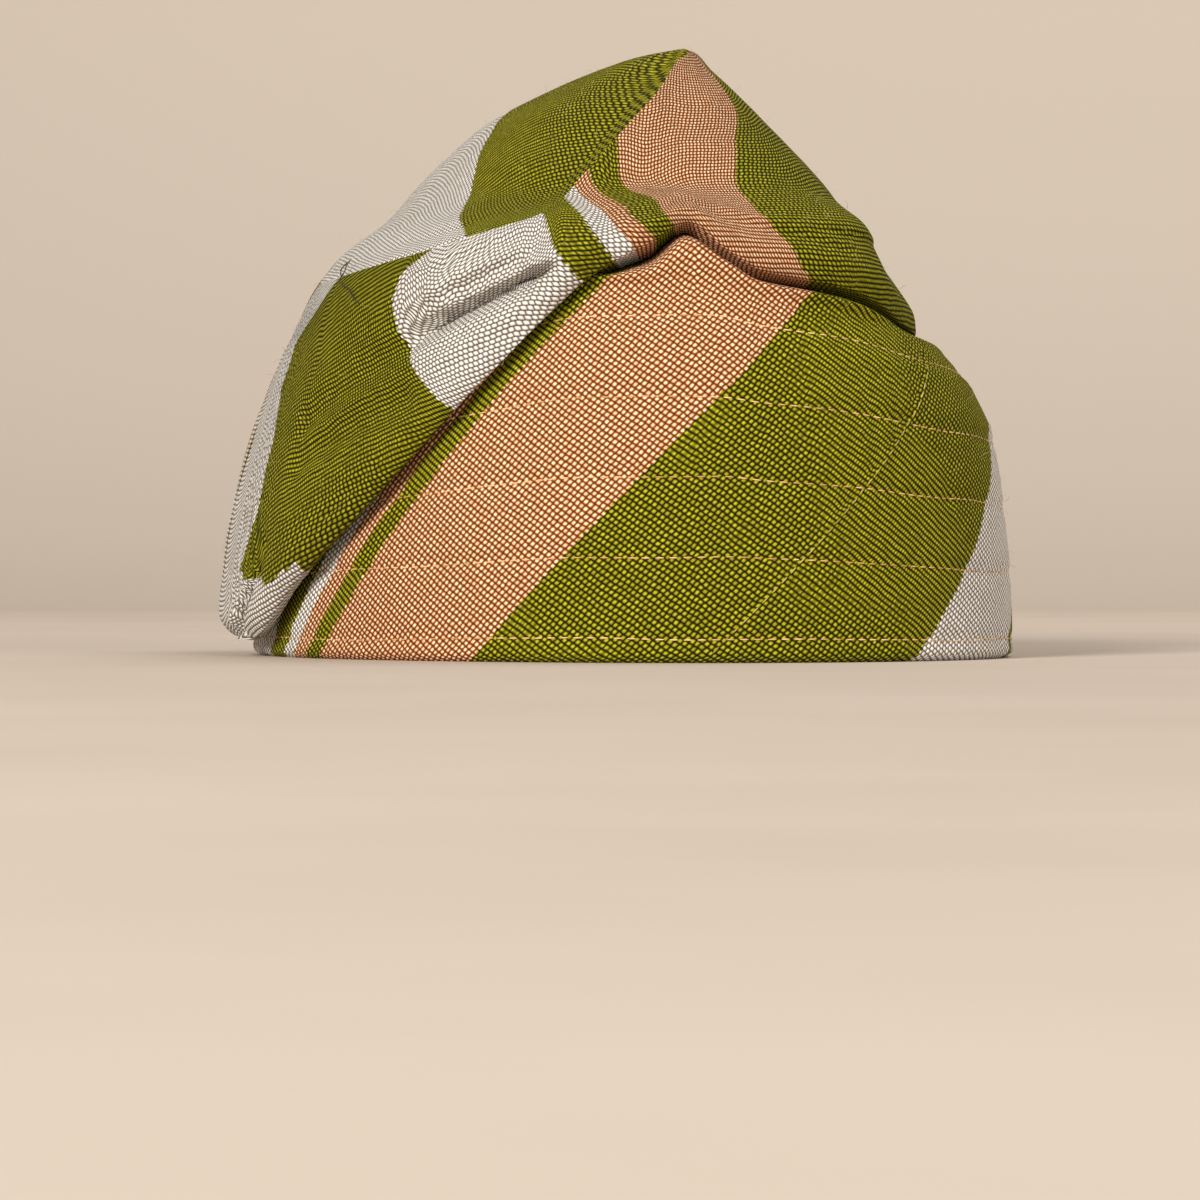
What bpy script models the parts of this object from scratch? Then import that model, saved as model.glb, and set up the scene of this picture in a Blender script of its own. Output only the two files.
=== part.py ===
"""A striped fila cap of handwoven cloth: a stiff quilted band, and a soft crown that is folded over
to the wearer's right, where it hangs as a pouch. Metres, +Z up, the wearer's front along -Y and the
wearer's left along +X. The cap stands on the band's lower edge."""

import math

import bmesh
import bpy
from mathutils import Vector

# Driving sizes of the band
BAND_HALF_WIDTH = 0.080
BAND_HALF_DEPTH = 0.100
BAND_HEIGHT = 0.0755
BAND_WALL = 0.003
BAND_LEAN = 0.016

# Driving sizes of the crown
CROWN_RISE = 0.0565
CROWN_WALL = 0.0015
FOLD_STAND = 0.009
FOLD_ROUNDING = 0.005
PEAK_FORWARD = 0.030
SEAM_STEP = 0.0045
SEAM_WIDTH = 0.005
SEAM_FADE = 0.020
PLEAT_DEPTH = 0.0035
PLEAT_WIDTH = 0.0055

# Clearances
SEAT_GAP = 0.0003
POUCH_GAP = 0.0012
CREASE_GAP = 0.0020

# The band's profile, rim to top: height as a share of its height at that angle, lean as a share of
# the lean at its top edge
BAND_LEVELS = (
    {"height": 0.00, "lean": 0.00},
    {"height": 0.06, "lean": 0.00},
    {"height": 0.35, "lean": 0.05},
    {"height": 0.60, "lean": 0.17},
    {"height": 0.78, "lean": 0.33},
    {"height": 0.91, "lean": 0.62},
    {"height": 1.00, "lean": 1.00},
)

# The band around the head, in degrees from the front towards the wearer's left: height as a share
# of BAND_HEIGHT, lean as a share of BAND_LEAN
BAND_SECTIONS = (
    {"angle": -175, "height": 0.87, "lean": 0.75},
    {"angle": -140, "height": 0.84, "lean": 0.95},
    {"angle": -100, "height": 0.84, "lean": 1.00},
    {"angle": -70, "height": 0.88, "lean": 0.85},
    {"angle": -45, "height": 0.95, "lean": 0.65},
    {"angle": -30, "height": 1.00, "lean": 0.50},
    {"angle": -14, "height": 1.00, "lean": 0.50},
    {"angle": -8, "height": 0.975, "lean": 0.52},
    {"angle": 4, "height": 0.94, "lean": 0.55},
    {"angle": 20, "height": 0.885, "lean": 0.70},
    {"angle": 40, "height": 0.86, "lean": 0.90},
    {"angle": 65, "height": 0.84, "lean": 1.00},
    {"angle": 110, "height": 0.85, "lean": 0.90},
    {"angle": 150, "height": 0.87, "lean": 0.75},
)

# The crown around the head. neck: height of the roll above the band; tuck: how far the crease goes
# in behind it; drop: how far the fold hangs below the band's top; hem and belly: how far its lower
# edge and its bulge stand off the band; swell: how full the face is above them; up and out: the
# shoulder's height and reach. neck and up are shares of CROWN_RISE, tuck, hem, belly and swell of
# FOLD_STAND, drop of BAND_HEIGHT and out of the rim's radius at that angle
SECTION_COLUMNS = ("angle", "neck", "tuck", "drop", "hem", "belly", "swell", "up", "out")
SECTION_ROWS = (
    (-179, 0.08, 0.65, -0.10, 0.15, 0.35, 0.25, 0.22, 0.80),
    (-164, 0.08, 0.50, 0.02, 0.46, 0.80, 0.30, 0.21, 0.80),
    (-150, 0.08, 0.70, 0.18, 0.50, 0.86, 0.42, 0.20, 0.80),
    (-132, 0.08, 0.70, 0.50, 0.50, 0.88, 0.50, 0.19, 0.79),
    (-114, 0.08, 0.70, 0.78, 0.55, 0.95, 0.55, 0.18, 0.80),
    (-98, 0.08, 0.70, 0.785, 0.52, 0.88, 0.52, 0.18, 0.82),
    (-84, 0.08, 0.70, 0.66, 0.50, 0.84, 0.50, 0.18, 0.84),
    (-70, 0.08, 0.70, 0.52, 0.48, 0.80, 0.40, 0.20, 0.86),
    (-56, 0.07, 0.70, 0.35, 0.45, 0.80, 0.35, 0.24, 0.87),
    (-44, 0.07, 0.75, 0.17, 0.44, 0.78, 0.35, 0.27, 0.87),
    (-35, 0.07, 0.85, 0.03, 0.38, 0.70, 0.30, 0.29, 0.87),
    (-28, 0.07, 1.00, -0.08, 0.20, 0.45, 0.20, 0.31, 0.86),
    (-22, 0.09, 1.10, -0.145, 0.05, 0.20, 0.10, 0.35, 0.84),
    (-17, 0.19, 0.80, -0.200, 0.00, 0.05, 0.00, 0.38, 0.82),
    (-12, 0.12, 0.80, -0.130, 0.05, 0.10, 0.00, 0.33, 0.86),
    (-6, 0.075, 0.75, -0.095, 0.05, 0.15, 0.00, 0.29, 0.89),
    (6, 0.07, 0.70, -0.090, 0.00, 0.10, 0.00, 0.29, 0.87),
    (25, 0.07, 0.70, -0.090, -0.60, -0.68, 0.05, 0.28, 0.675),
    (50, 0.07, 0.70, -0.090, -0.85, -1.00, 0.10, 0.27, 0.54),
    (75, 0.07, 0.70, -0.090, -0.85, -1.00, 0.10, 0.27, 0.535),
    (110, 0.07, 0.70, -0.090, -0.50, -0.60, 0.10, 0.26, 0.62),
    (150, 0.07, 0.70, -0.090, -0.20, -0.10, 0.25, 0.24, 0.77),
)
CROWN_SECTIONS = tuple(dict(zip(SECTION_COLUMNS, row)) for row in SECTION_ROWS)

# The crown above its shoulder: height as a share of CROWN_RISE, half width and half depth as shares
# of the band's, the level's shift forward as a share of PEAK_FORWARD and to the side of
# BAND_HALF_WIDTH
DOME_LEVELS = (
    {"height": 0.423, "width": 0.505, "depth": 0.740, "forward": 0.08, "side": -0.075},
    {"height": 0.568, "width": 0.430, "depth": 0.630, "forward": 0.12, "side": -0.075},
    {"height": 0.748, "width": 0.318, "depth": 0.470, "forward": 0.18, "side": -0.065},
    {"height": 0.830, "width": 0.240, "depth": 0.380, "forward": 0.25, "side": -0.050},
    {"height": 0.919, "width": 0.145, "depth": 0.250, "forward": 0.42, "side": -0.030},
    {"height": 0.978, "width": 0.070, "depth": 0.125, "forward": 0.70, "side": -0.015},
    {"height": 1.000, "width": 0.000, "depth": 0.000, "forward": 1.00, "side": -0.010},
)

# The top seam around the crown: height above BAND_HEIGHT as a share of CROWN_RISE, and how far the
# panel below it stands proud, as a share of SEAM_STEP
SEAM_SECTIONS = (
    {"angle": -125, "height": 0.10, "step": 0.0},
    {"angle": -85, "height": 0.11, "step": 0.6},
    {"angle": -61, "height": 0.16, "step": 1.0},
    {"angle": -45, "height": 0.25, "step": 1.0},
    {"angle": -38, "height": 0.30, "step": 1.0},
    {"angle": -30, "height": 0.46, "step": 1.0},
    {"angle": -22, "height": 0.65, "step": 1.0},
    {"angle": -15, "height": 0.79, "step": 0.8},
    {"angle": -8, "height": 0.95, "step": 0.4},
    {"angle": 10, "height": 1.00, "step": 0.0},
)

# Pleats and creases in the fold's face, each from a start to an end: angle, height above
# BAND_HEIGHT as a share of CROWN_RISE, and depth as a share of PLEAT_DEPTH, less than 0 for a ridge
PLEAT_COLUMNS = ("start_angle", "start_height", "end_angle", "end_height", "depth")
PLEAT_ROWS = (
    (-57, -0.13, -40, 0.07, 1.0),
    (-53, 0.02, -38, 0.15, -0.4),
    (-49, 0.02, -37, 0.21, 0.5),
    (-31, 0.38, -27, 0.22, 0.8),
    (-82, -0.44, -59, -0.18, 0.5),
    (-82, -0.60, -58, -0.38, 0.5),
    (-92, -0.92, -104, -1.24, 0.5),
)
PLEATS = tuple(dict(zip(PLEAT_COLUMNS, row)) for row in PLEAT_ROWS)

# The hidden layer of the fold against the band, as shares of its way down from the crease, and how
# far it stays above the hem, as a share of FOLD_ROUNDING
HIDDEN_LEVELS = (0.12, 0.27, 0.47, 0.72, 1.00)
HIDDEN_SHARE = 0.6

# The most of a fold's face that its rounded lower edge may take
ROUNDING_SHARE = 0.4

# Where the crease has no fold hanging over it, its upper side's rows end at this share of its depth
LIP_SHARE = 0.7

# Rows of faces between neighbouring control points of a crown section, seat to peak
CROWN_STEPS = (1, 1, 1, 1, 1, 1, 1, 1, 1, 2, 3, 3, 2, 2, 2, 1, 1, 1, 1)
FOLDED_ROWS = 9

# Columns of faces around the cap, by stretch, closer together at the gathered folds
COLUMN_STRETCHES = (
    {"start": -180, "end": -60, "columns": 26},
    {"start": -60, "end": 6, "columns": 30},
    {"start": 6, "end": 180, "columns": 30},
)


def column_angles():
    """The angles of the cap's columns, in degrees from the front."""
    angles = []
    for stretch in COLUMN_STRETCHES:
        step = (stretch["end"] - stretch["start"]) / stretch["columns"]
        angles += [stretch["start"] + step * i for i in range(stretch["columns"])]
    return angles


def joint_slope(before, after):
    """The slope at a table's row, flat at a turning point, so that no value overshoots."""
    if before * after <= 0.0:
        return 0.0
    return 2.0 * before * after / (before + after)


def around(sections, column, angle):
    """A column of a table of sections at an angle, smoothly and all the way round."""
    count = len(sections)
    row_index = sum(1 for row in sections if row["angle"] <= angle) - 1
    rows = [sections[(row_index + i) % count] for i in (-1, 0, 1, 2)]
    turns = [math.floor((row_index + i) / count) for i in (-1, 0, 1, 2)]
    angles = [row["angle"] + 360.0 * turn for row, turn in zip(rows, turns)]
    values = [row[column] for row in rows]
    slopes = [(values[i + 1] - values[i]) / (angles[i + 1] - angles[i]) for i in range(3)]
    span = angles[2] - angles[1]
    along = (angle - angles[1]) / span
    start_slope = joint_slope(slopes[0], slopes[1]) * span
    end_slope = joint_slope(slopes[1], slopes[2]) * span
    rest = 1.0 - along
    return (
        values[1] * (1.0 + 2.0 * along) * rest * rest
        + start_slope * along * rest * rest
        + values[2] * along * along * (3.0 - 2.0 * along)
        - end_slope * along * along * rest
    )


def rim_radius(angle, half_width=BAND_HALF_WIDTH, half_depth=BAND_HALF_DEPTH):
    """The radius of an oval at an angle from the front."""
    turn = math.radians(angle)
    return 1.0 / math.hypot(math.sin(turn) / half_width, math.cos(turn) / half_depth)


def band_top(angle):
    """The band's height at an angle."""
    return BAND_HEIGHT * around(BAND_SECTIONS, "height", angle)


def band_radius(angle, height):
    """The radius of the band's outer face at an angle and height, its top edge's above that."""
    share = min(max(height / band_top(angle), 0.0), 1.0)
    lean = BAND_LEVELS[-1]["lean"]
    for low, high in zip(BAND_LEVELS, BAND_LEVELS[1:]):
        if share <= high["height"]:
            along = (share - low["height"]) / (high["height"] - low["height"])
            lean = low["lean"] + (high["lean"] - low["lean"]) * along
            break
    return rim_radius(angle) - BAND_LEAN * around(BAND_SECTIONS, "lean", angle) * lean


def seat_points(angle):
    """The crown's lower edge, which carries on the line of the band's wall above a small gap."""
    top = band_top(angle)
    below = top * BAND_LEVELS[-2]["height"]
    edge = Vector((band_radius(angle, top), top))
    along = (edge - Vector((band_radius(angle, below), below))).normalized()
    return edge + along * SEAT_GAP, edge + along * (SEAT_GAP + CROWN_WALL)


def fold_points(angle):
    """The crown's roll over the band, the crease behind it, and the fold that hangs over it."""
    top = band_top(angle)
    neck = top + CROWN_RISE * around(CROWN_SECTIONS, "neck", angle)
    tuck = FOLD_STAND * around(CROWN_SECTIONS, "tuck", angle)
    hem = top - BAND_HEIGHT * around(CROWN_SECTIONS, "drop", angle)
    hem_reach = FOLD_STAND * around(CROWN_SECTIONS, "hem", angle)
    belly_reach = FOLD_STAND * around(CROWN_SECTIONS, "belly", angle)
    edge = band_radius(angle, top) + min(hem_reach, 0.0)
    crease = neck + max(hem - neck, CREASE_GAP) / 2.0
    mouth = min(max((1.0 + (hem - neck) / CREASE_GAP) / 2.0, 0.0), 1.0)
    turn = edge + POUCH_GAP * (1.0 - mouth) - tuck * mouth
    belly = hem + min(FOLD_ROUNDING, (shoulder_point(angle).y - hem) * ROUNDING_SHARE)
    fold_edge = band_radius(angle, hem) + hem_reach
    points = [Vector((edge, neck)), Vector((turn, crease))]
    hidden_end = hem + HIDDEN_SHARE * min(FOLD_ROUNDING, neck - hem) * (1.0 - mouth)
    for i, share in enumerate(HIDDEN_LEVELS, 1):
        hidden = crease + (hidden_end - crease) * share
        inner = Vector((band_radius(angle, hidden) + POUCH_GAP, hidden))
        lip = points[1].lerp(Vector((fold_edge, hem)), LIP_SHARE * i / len(HIDDEN_LEVELS))
        points.append(inner.lerp(lip, mouth))
    points.append(Vector((fold_edge, hem)))
    points.append(Vector((band_radius(angle, belly) + belly_reach, belly)))
    return points


def shoulder_point(angle):
    """The crown's shoulder, above which it leans in to the peak."""
    return Vector((
        rim_radius(angle) * around(CROWN_SECTIONS, "out", angle),
        BAND_HEIGHT + CROWN_RISE * around(CROWN_SECTIONS, "up", angle),
    ))


def face_point(angle, belly):
    """The fold's face, halfway between its bulge and the shoulder."""
    middle = (belly + shoulder_point(angle)) / 2.0
    return middle + Vector((FOLD_STAND * around(CROWN_SECTIONS, "swell", angle), 0.0))


def dome_point(angle, level):
    """A radius and height on one of the levels above the shoulder."""
    height = BAND_HEIGHT + CROWN_RISE * level["height"]
    if level["width"] == 0.0:
        return Vector((0.0, height))
    half_width = BAND_HALF_WIDTH * level["width"]
    half_depth = BAND_HALF_DEPTH * level["depth"]
    return Vector((rim_radius(angle, half_width, half_depth), height))


def place(angle, point, forward=0.0, side=0.0):
    """The place in space of a section's radius and height, around an axis that may be moved."""
    turn = math.radians(angle)
    return Vector((
        point.x * math.sin(turn) + BAND_HALF_WIDTH * side,
        -point.x * math.cos(turn) - PEAK_FORWARD * forward,
        point.y,
    ))


def smooth_curve(points, steps):
    """Points on one smooth curve through a section's control points."""
    ends = [2.0 * points[0] - points[1], *points, 2.0 * points[-1] - points[-2]]
    curve = []
    for i, count in enumerate(steps):
        before, start, end, after = ends[i:i + 4]
        span = (end - start).length
        start_tangent = (end - before) * (span / ((start - before).length + span))
        end_tangent = (after - start) * (span / ((after - end).length + span))
        for step in range(count):
            along = step / count
            rest = 1.0 - along
            curve.append(
                start * ((1.0 + 2.0 * along) * rest * rest)
                + start_tangent * (along * rest * rest)
                + end * (along * along * (3.0 - 2.0 * along))
                - end_tangent * (along * along * rest)
            )
    curve.append(points[-1])
    return curve


def fade(share):
    """A smooth fall from 1 to 0 as a share runs from 0 to 1."""
    rest = 1.0 - min(max(share, 0.0), 1.0)
    return rest * rest * (3.0 - 2.0 * rest)


def seam_step(angle, height):
    """How far the panel below the top seam stands proud at an angle and height."""
    above = height - BAND_HEIGHT - CROWN_RISE * around(SEAM_SECTIONS, "height", angle)
    share = above / SEAM_WIDTH if above > 0.0 else -above / SEAM_FADE
    return SEAM_STEP * around(SEAM_SECTIONS, "step", angle) * fade(share)


def pleat_depth(angle, height):
    """How deep the pleats lie at an angle and height, from the distance to each one's line."""
    depth = 0.0
    for pleat in PLEATS:
        reach = rim_radius((pleat["start_angle"] + pleat["end_angle"]) / 2.0)
        start, end = [
            Vector((reach * math.radians(pleat[side + "_angle"]),
                    BAND_HEIGHT + CROWN_RISE * pleat[side + "_height"]))
            for side in ("start", "end")
        ]
        spot = Vector((reach * math.radians(angle), height))
        run = end - start
        along = min(max((spot - start).dot(run) / run.length_squared, 0.0), 1.0)
        distance = (spot - start - run * along).length
        depth += PLEAT_DEPTH * pleat["depth"] * fade(distance / PLEAT_WIDTH)
    return depth


def crown_section(angle):
    """The crown's outer face at an angle, seat to peak."""
    fold = [*seat_points(angle), *fold_points(angle)]
    fold += [face_point(angle, fold[-1]), shoulder_point(angle)]
    points = [place(angle, point) for point in fold]
    for level in DOME_LEVELS:
        points.append(place(angle, dome_point(angle, level), level["forward"], level["side"]))
    section = smooth_curve(points, CROWN_STEPS)
    outward = place(angle, Vector((1.0, 0.0)))
    for row, point in enumerate(section[:-1]):
        if row > FOLDED_ROWS:
            point += outward * (seam_step(angle, point.z) - pleat_depth(angle, point.z))
    return section


def band_section(angle):
    """The band's outer face at an angle, rim to top."""
    top = band_top(angle)
    heights = [top * level["height"] for level in BAND_LEVELS]
    return [place(angle, Vector((band_radius(angle, height), height))) for height in heights]


def loft(name, sections, closed_top):
    """A mesh of quads between neighbouring sections, fanned to one point at a closed top."""
    shape = bmesh.new()
    rows = len(sections[0]) - (1 if closed_top else 0)
    columns = [[shape.verts.new(point) for point in section[:rows]] for section in sections]
    peak = shape.verts.new(sections[0][-1]) if closed_top else None
    for column, following in zip(columns, columns[1:] + columns[:1]):
        for row in range(rows - 1):
            shape.faces.new((column[row], following[row], following[row + 1], column[row + 1]))
        if closed_top:
            shape.faces.new((column[-1], following[-1], peak))
    mesh = bpy.data.meshes.new(name)
    shape.to_mesh(mesh)
    shape.free()
    mesh.shade_smooth()
    return mesh


def cloth_material(name, colour, roughness):
    """A plain material of one of the cloth's colours."""
    material = bpy.data.materials.new(name)
    material.use_nodes = True
    surface = material.node_tree.nodes["Principled BSDF"]
    surface.inputs["Base Color"].default_value = (*colour, 1.0)
    surface.inputs["Roughness"].default_value = roughness
    surface.inputs["Metallic"].default_value = 0.0
    return material


def shell(name, mesh, wall, material, parent, collection):
    """An object whose wall is grown inwards from its outer face."""
    piece = bpy.data.objects.new(name, mesh)
    mesh.materials.append(material)
    piece.parent = parent
    collection.objects.link(piece)
    solidify = piece.modifiers.new("wall", "SOLIDIFY")
    solidify.thickness = wall
    solidify.offset = -1.0
    return piece


def build_cap():
    """Build the band and the crown around one empty, which centres the cap over the origin."""
    for item in list(bpy.data.objects):
        bpy.data.objects.remove(item, do_unlink=True)
    collection = bpy.data.collections.new("fila_cap")
    bpy.context.scene.collection.children.link(collection)

    angles = column_angles()
    band_sections = [band_section(angle) for angle in angles]
    crown_sections = [crown_section(angle) for angle in angles]
    faces = [point for section in band_sections + crown_sections for point in section]
    middle_x = (min(p.x for p in faces) + max(p.x for p in faces)) / 2.0
    middle_y = (min(p.y for p in faces) + max(p.y for p in faces)) / 2.0

    centre = bpy.data.objects.new("fila_cap_centre", None)
    centre.location = (-middle_x, -middle_y, 0.0)
    collection.objects.link(centre)

    rust = cloth_material("rust_striped_cloth", (0.52, 0.24, 0.13), 0.85)
    olive = cloth_material("olive_striped_cloth", (0.13, 0.15, 0.02), 0.85)
    band_mesh = loft("band", band_sections, closed_top=False)
    shell("band", band_mesh, BAND_WALL, rust, centre, collection)
    crown_mesh = loft("crown", crown_sections, closed_top=True)
    shell("crown", crown_mesh, CROWN_WALL, olive, centre, collection)


build_cap()
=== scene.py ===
"""The looks of a striped fila cap of handwoven cloth: a quilted band, and a soft crown that is folded
over to the wearer's right as a pouch. Metres, +Z up, the wearer's front along -Y. The cap stands on
the floor at z = 0."""

import logging
import math
import random
from bisect import bisect
from dataclasses import dataclass
from enum import Enum
from functools import lru_cache
from typing import Any, Callable, Optional, Sequence, Union

import bmesh
import bpy
from mathutils import Matrix, Vector, noise


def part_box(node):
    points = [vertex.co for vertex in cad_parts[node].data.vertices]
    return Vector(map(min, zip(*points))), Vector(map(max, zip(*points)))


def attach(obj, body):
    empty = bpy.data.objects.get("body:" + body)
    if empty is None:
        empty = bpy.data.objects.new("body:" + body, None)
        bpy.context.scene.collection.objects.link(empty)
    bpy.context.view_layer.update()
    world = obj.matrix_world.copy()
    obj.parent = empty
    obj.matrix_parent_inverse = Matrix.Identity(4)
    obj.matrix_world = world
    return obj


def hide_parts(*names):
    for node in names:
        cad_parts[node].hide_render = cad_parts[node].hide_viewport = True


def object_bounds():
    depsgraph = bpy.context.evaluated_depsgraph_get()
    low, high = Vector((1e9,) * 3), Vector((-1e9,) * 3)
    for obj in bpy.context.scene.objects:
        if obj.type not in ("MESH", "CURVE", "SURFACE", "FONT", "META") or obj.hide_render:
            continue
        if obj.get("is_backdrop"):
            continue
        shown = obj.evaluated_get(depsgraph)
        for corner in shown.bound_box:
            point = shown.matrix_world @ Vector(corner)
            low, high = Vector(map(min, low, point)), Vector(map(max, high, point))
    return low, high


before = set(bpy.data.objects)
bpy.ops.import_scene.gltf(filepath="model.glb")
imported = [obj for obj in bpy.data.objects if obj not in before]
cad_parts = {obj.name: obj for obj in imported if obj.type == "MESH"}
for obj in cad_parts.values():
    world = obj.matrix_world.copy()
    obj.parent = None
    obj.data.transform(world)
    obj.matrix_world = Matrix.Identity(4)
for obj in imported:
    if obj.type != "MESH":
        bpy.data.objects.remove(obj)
CAD_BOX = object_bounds()

log = logging.getLogger("fila_cap")

MM = 0.001
MERGE_DISTANCE = 1e-6

# The band around the head, in degrees from the front towards the wearer's left: its height as a
# share of the band's height, its lean as a share of the band's lean
BAND_COLUMNS = ("angle", "height", "lean")
BAND_ROWS = (
    (-175, 0.87, 0.75),
    (-140, 0.84, 0.95),
    (-100, 0.84, 1.00),
    (-70, 0.88, 0.85),
    (-45, 0.95, 0.65),
    (-30, 1.00, 0.50),
    (-14, 1.00, 0.50),
    (-8, 0.975, 0.52),
    (4, 0.94, 0.55),
    (20, 0.885, 0.70),
    (40, 0.86, 0.90),
    (65, 0.84, 1.00),
    (110, 0.85, 0.90),
    (150, 0.87, 0.75),
)

# The band's profile, rim to top: share of the height, share of the lean
LEAN_LEVELS = (
    (0.00, 0.00),
    (0.06, 0.00),
    (0.35, 0.05),
    (0.60, 0.17),
    (0.78, 0.33),
    (0.91, 0.62),
    (1.00, 1.00),
)

# The crown around the head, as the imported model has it. neck: the roll above the band; tuck: how
# far the crease goes in behind it; drop: how far the fold hangs below the band's top; hem, belly
# and swell: how far its lower edge, its bulge and its face stand off; up and out: the shoulder
CROWN_COLUMNS = ("angle", "neck", "tuck", "drop", "hem", "belly", "swell", "up", "out")
CROWN_ROWS = (
    (-179, 0.08, 0.65, -0.10, 0.15, 0.35, 0.25, 0.22, 0.80),
    (-164, 0.08, 0.50, 0.02, 0.46, 0.80, 0.30, 0.21, 0.80),
    (-150, 0.08, 0.70, 0.18, 0.50, 0.86, 0.42, 0.20, 0.80),
    (-132, 0.08, 0.70, 0.50, 0.50, 0.88, 0.50, 0.19, 0.79),
    (-114, 0.08, 0.70, 0.78, 0.55, 0.95, 0.55, 0.18, 0.80),
    (-98, 0.08, 0.70, 0.785, 0.52, 0.88, 0.52, 0.18, 0.82),
    (-84, 0.08, 0.70, 0.66, 0.50, 0.84, 0.50, 0.18, 0.84),
    (-70, 0.08, 0.70, 0.52, 0.48, 0.80, 0.40, 0.20, 0.86),
    (-56, 0.07, 0.70, 0.35, 0.45, 0.80, 0.35, 0.24, 0.87),
    (-44, 0.07, 0.75, 0.17, 0.44, 0.78, 0.35, 0.27, 0.87),
    (-35, 0.07, 0.85, 0.03, 0.38, 0.70, 0.30, 0.29, 0.87),
    (-28, 0.07, 1.00, -0.08, 0.20, 0.45, 0.20, 0.31, 0.86),
    (-22, 0.09, 1.10, -0.145, 0.05, 0.20, 0.10, 0.35, 0.84),
    (-17, 0.19, 0.80, -0.200, 0.00, 0.05, 0.00, 0.38, 0.82),
    (-12, 0.12, 0.80, -0.130, 0.05, 0.10, 0.00, 0.33, 0.86),
    (-6, 0.075, 0.75, -0.095, 0.05, 0.15, 0.00, 0.29, 0.89),
    (6, 0.07, 0.70, -0.090, 0.00, 0.10, 0.00, 0.29, 0.87),
    (25, 0.045, 0.70, -0.055, -0.60, -0.68, 0.05, 0.28, 0.675),
    (50, 0.045, 0.70, -0.060, -0.85, -1.00, 0.10, 0.27, 0.54),
    (75, 0.07, 0.70, -0.090, -0.85, -1.00, 0.10, 0.27, 0.535),
    (110, 0.07, 0.70, -0.090, -0.50, -0.60, 0.10, 0.26, 0.62),
    (150, 0.07, 0.70, -0.090, -0.20, -0.10, 0.25, 0.24, 0.77),
)

# The crown above its shoulder: height as a share of the crown's rise, half width and half depth as
# shares of the band's, the shift forward as a share of the peak's and to the side of the half width
DOME_COLUMNS = ("height", "width", "depth", "forward", "side")
DOME_ROWS = (
    (0.423, 0.505, 0.740, 0.08, -0.075),
    (0.568, 0.430, 0.630, 0.12, -0.075),
    (0.748, 0.318, 0.470, 0.18, -0.065),
    (0.830, 0.240, 0.380, 0.25, -0.050),
    (0.919, 0.145, 0.250, 0.42, -0.030),
    (0.978, 0.070, 0.125, 0.70, -0.015),
    (1.000, 0.000, 0.000, 1.00, -0.010),
)

# The top seam: its height above the band as a share of the crown's rise, and how far the panel
# below it stands proud, as a share of the seam's step
SEAM_COLUMNS = ("angle", "height", "step")
SEAM_ROWS = (
    (-125, 0.10, 0.0),
    (-85, 0.11, 0.6),
    (-61, 0.16, 1.0),
    (-45, 0.25, 1.0),
    (-38, 0.30, 1.0),
    (-30, 0.46, 1.0),
    (-22, 0.65, 1.0),
    (-15, 0.79, 0.8),
    (-8, 0.95, 0.4),
    (10, 1.00, 0.0),
)

# Pleats and creases in the fold's face, each from a start to an end: angle, height above the band
# as a share of the crown's rise, depth and width in millimetres, less than 0 for a ridge
PLEAT_COLUMNS = ("start_angle", "start_height", "end_angle", "end_height", "depth", "width")
PLEAT_ROWS = (
    (-57, -0.13, -40, 0.07, 3.5, 5.5),
    (-53, 0.02, -38, 0.15, -1.4, 5.5),
    (-49, 0.02, -37, 0.21, 1.75, 5.5),
    (-31, 0.38, -27, 0.22, 2.8, 5.5),
    (-82, -0.44, -59, -0.18, 1.75, 5.5),
    (-82, -0.60, -58, -0.38, 1.75, 5.5),
    (-92, -0.92, -104, -1.24, 1.75, 5.5),
)

# Sharp tucks in the cloth, which the model's solids leave out, from a start to an end: angle and
# height as above, how far the cloth above and below the line stands out, how wide they reach, and
# the depth of the narrow crease between them, in millimetres
TUCK_COLUMNS = (
    "start_angle", "start_height", "end_angle", "end_height", "upper", "lower", "width", "crease"
)
TUCK_ROWS = (
    (-59.5, -0.140, -33.0, 0.125, 2.6, -2.0, 4.5, 4.2),
    (-63, -0.100, -35, 0.205, 0.7, -0.6, 3.5, 0.4),
    (-60, 0.060, -38, 0.260, 0.4, -0.4, 3.0, 0.3),
    (-55, -0.290, -33, 0.040, 0.9, 0.9, 3.0, 0.0),
    (-93, -0.980, -106, -1.270, 2.2, -2.0, 4.5, 2.8),
    (-84, -0.720, -62, -0.500, 0.35, -0.35, 3.0, 0.3),
    (-80, -0.300, -60, -0.120, 0.35, -0.35, 3.0, 0.3),
    (-84, -0.560, -60, -0.320, 0.35, -0.35, 3.0, 0.3),
    (-76, -0.860, -57, -0.510, 0.30, -0.40, 3.0, 0.4),
    (-20, 0.420, -14, 0.300, 0.5, -0.6, 4.0, 0.3),
    (-12, 0.300, 8, 0.160, 0.5, -0.5, 4.0, 0.2),
    (-2, 0.260, 22, 0.200, 0.4, -0.4, 4.0, 0.2),
)

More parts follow.
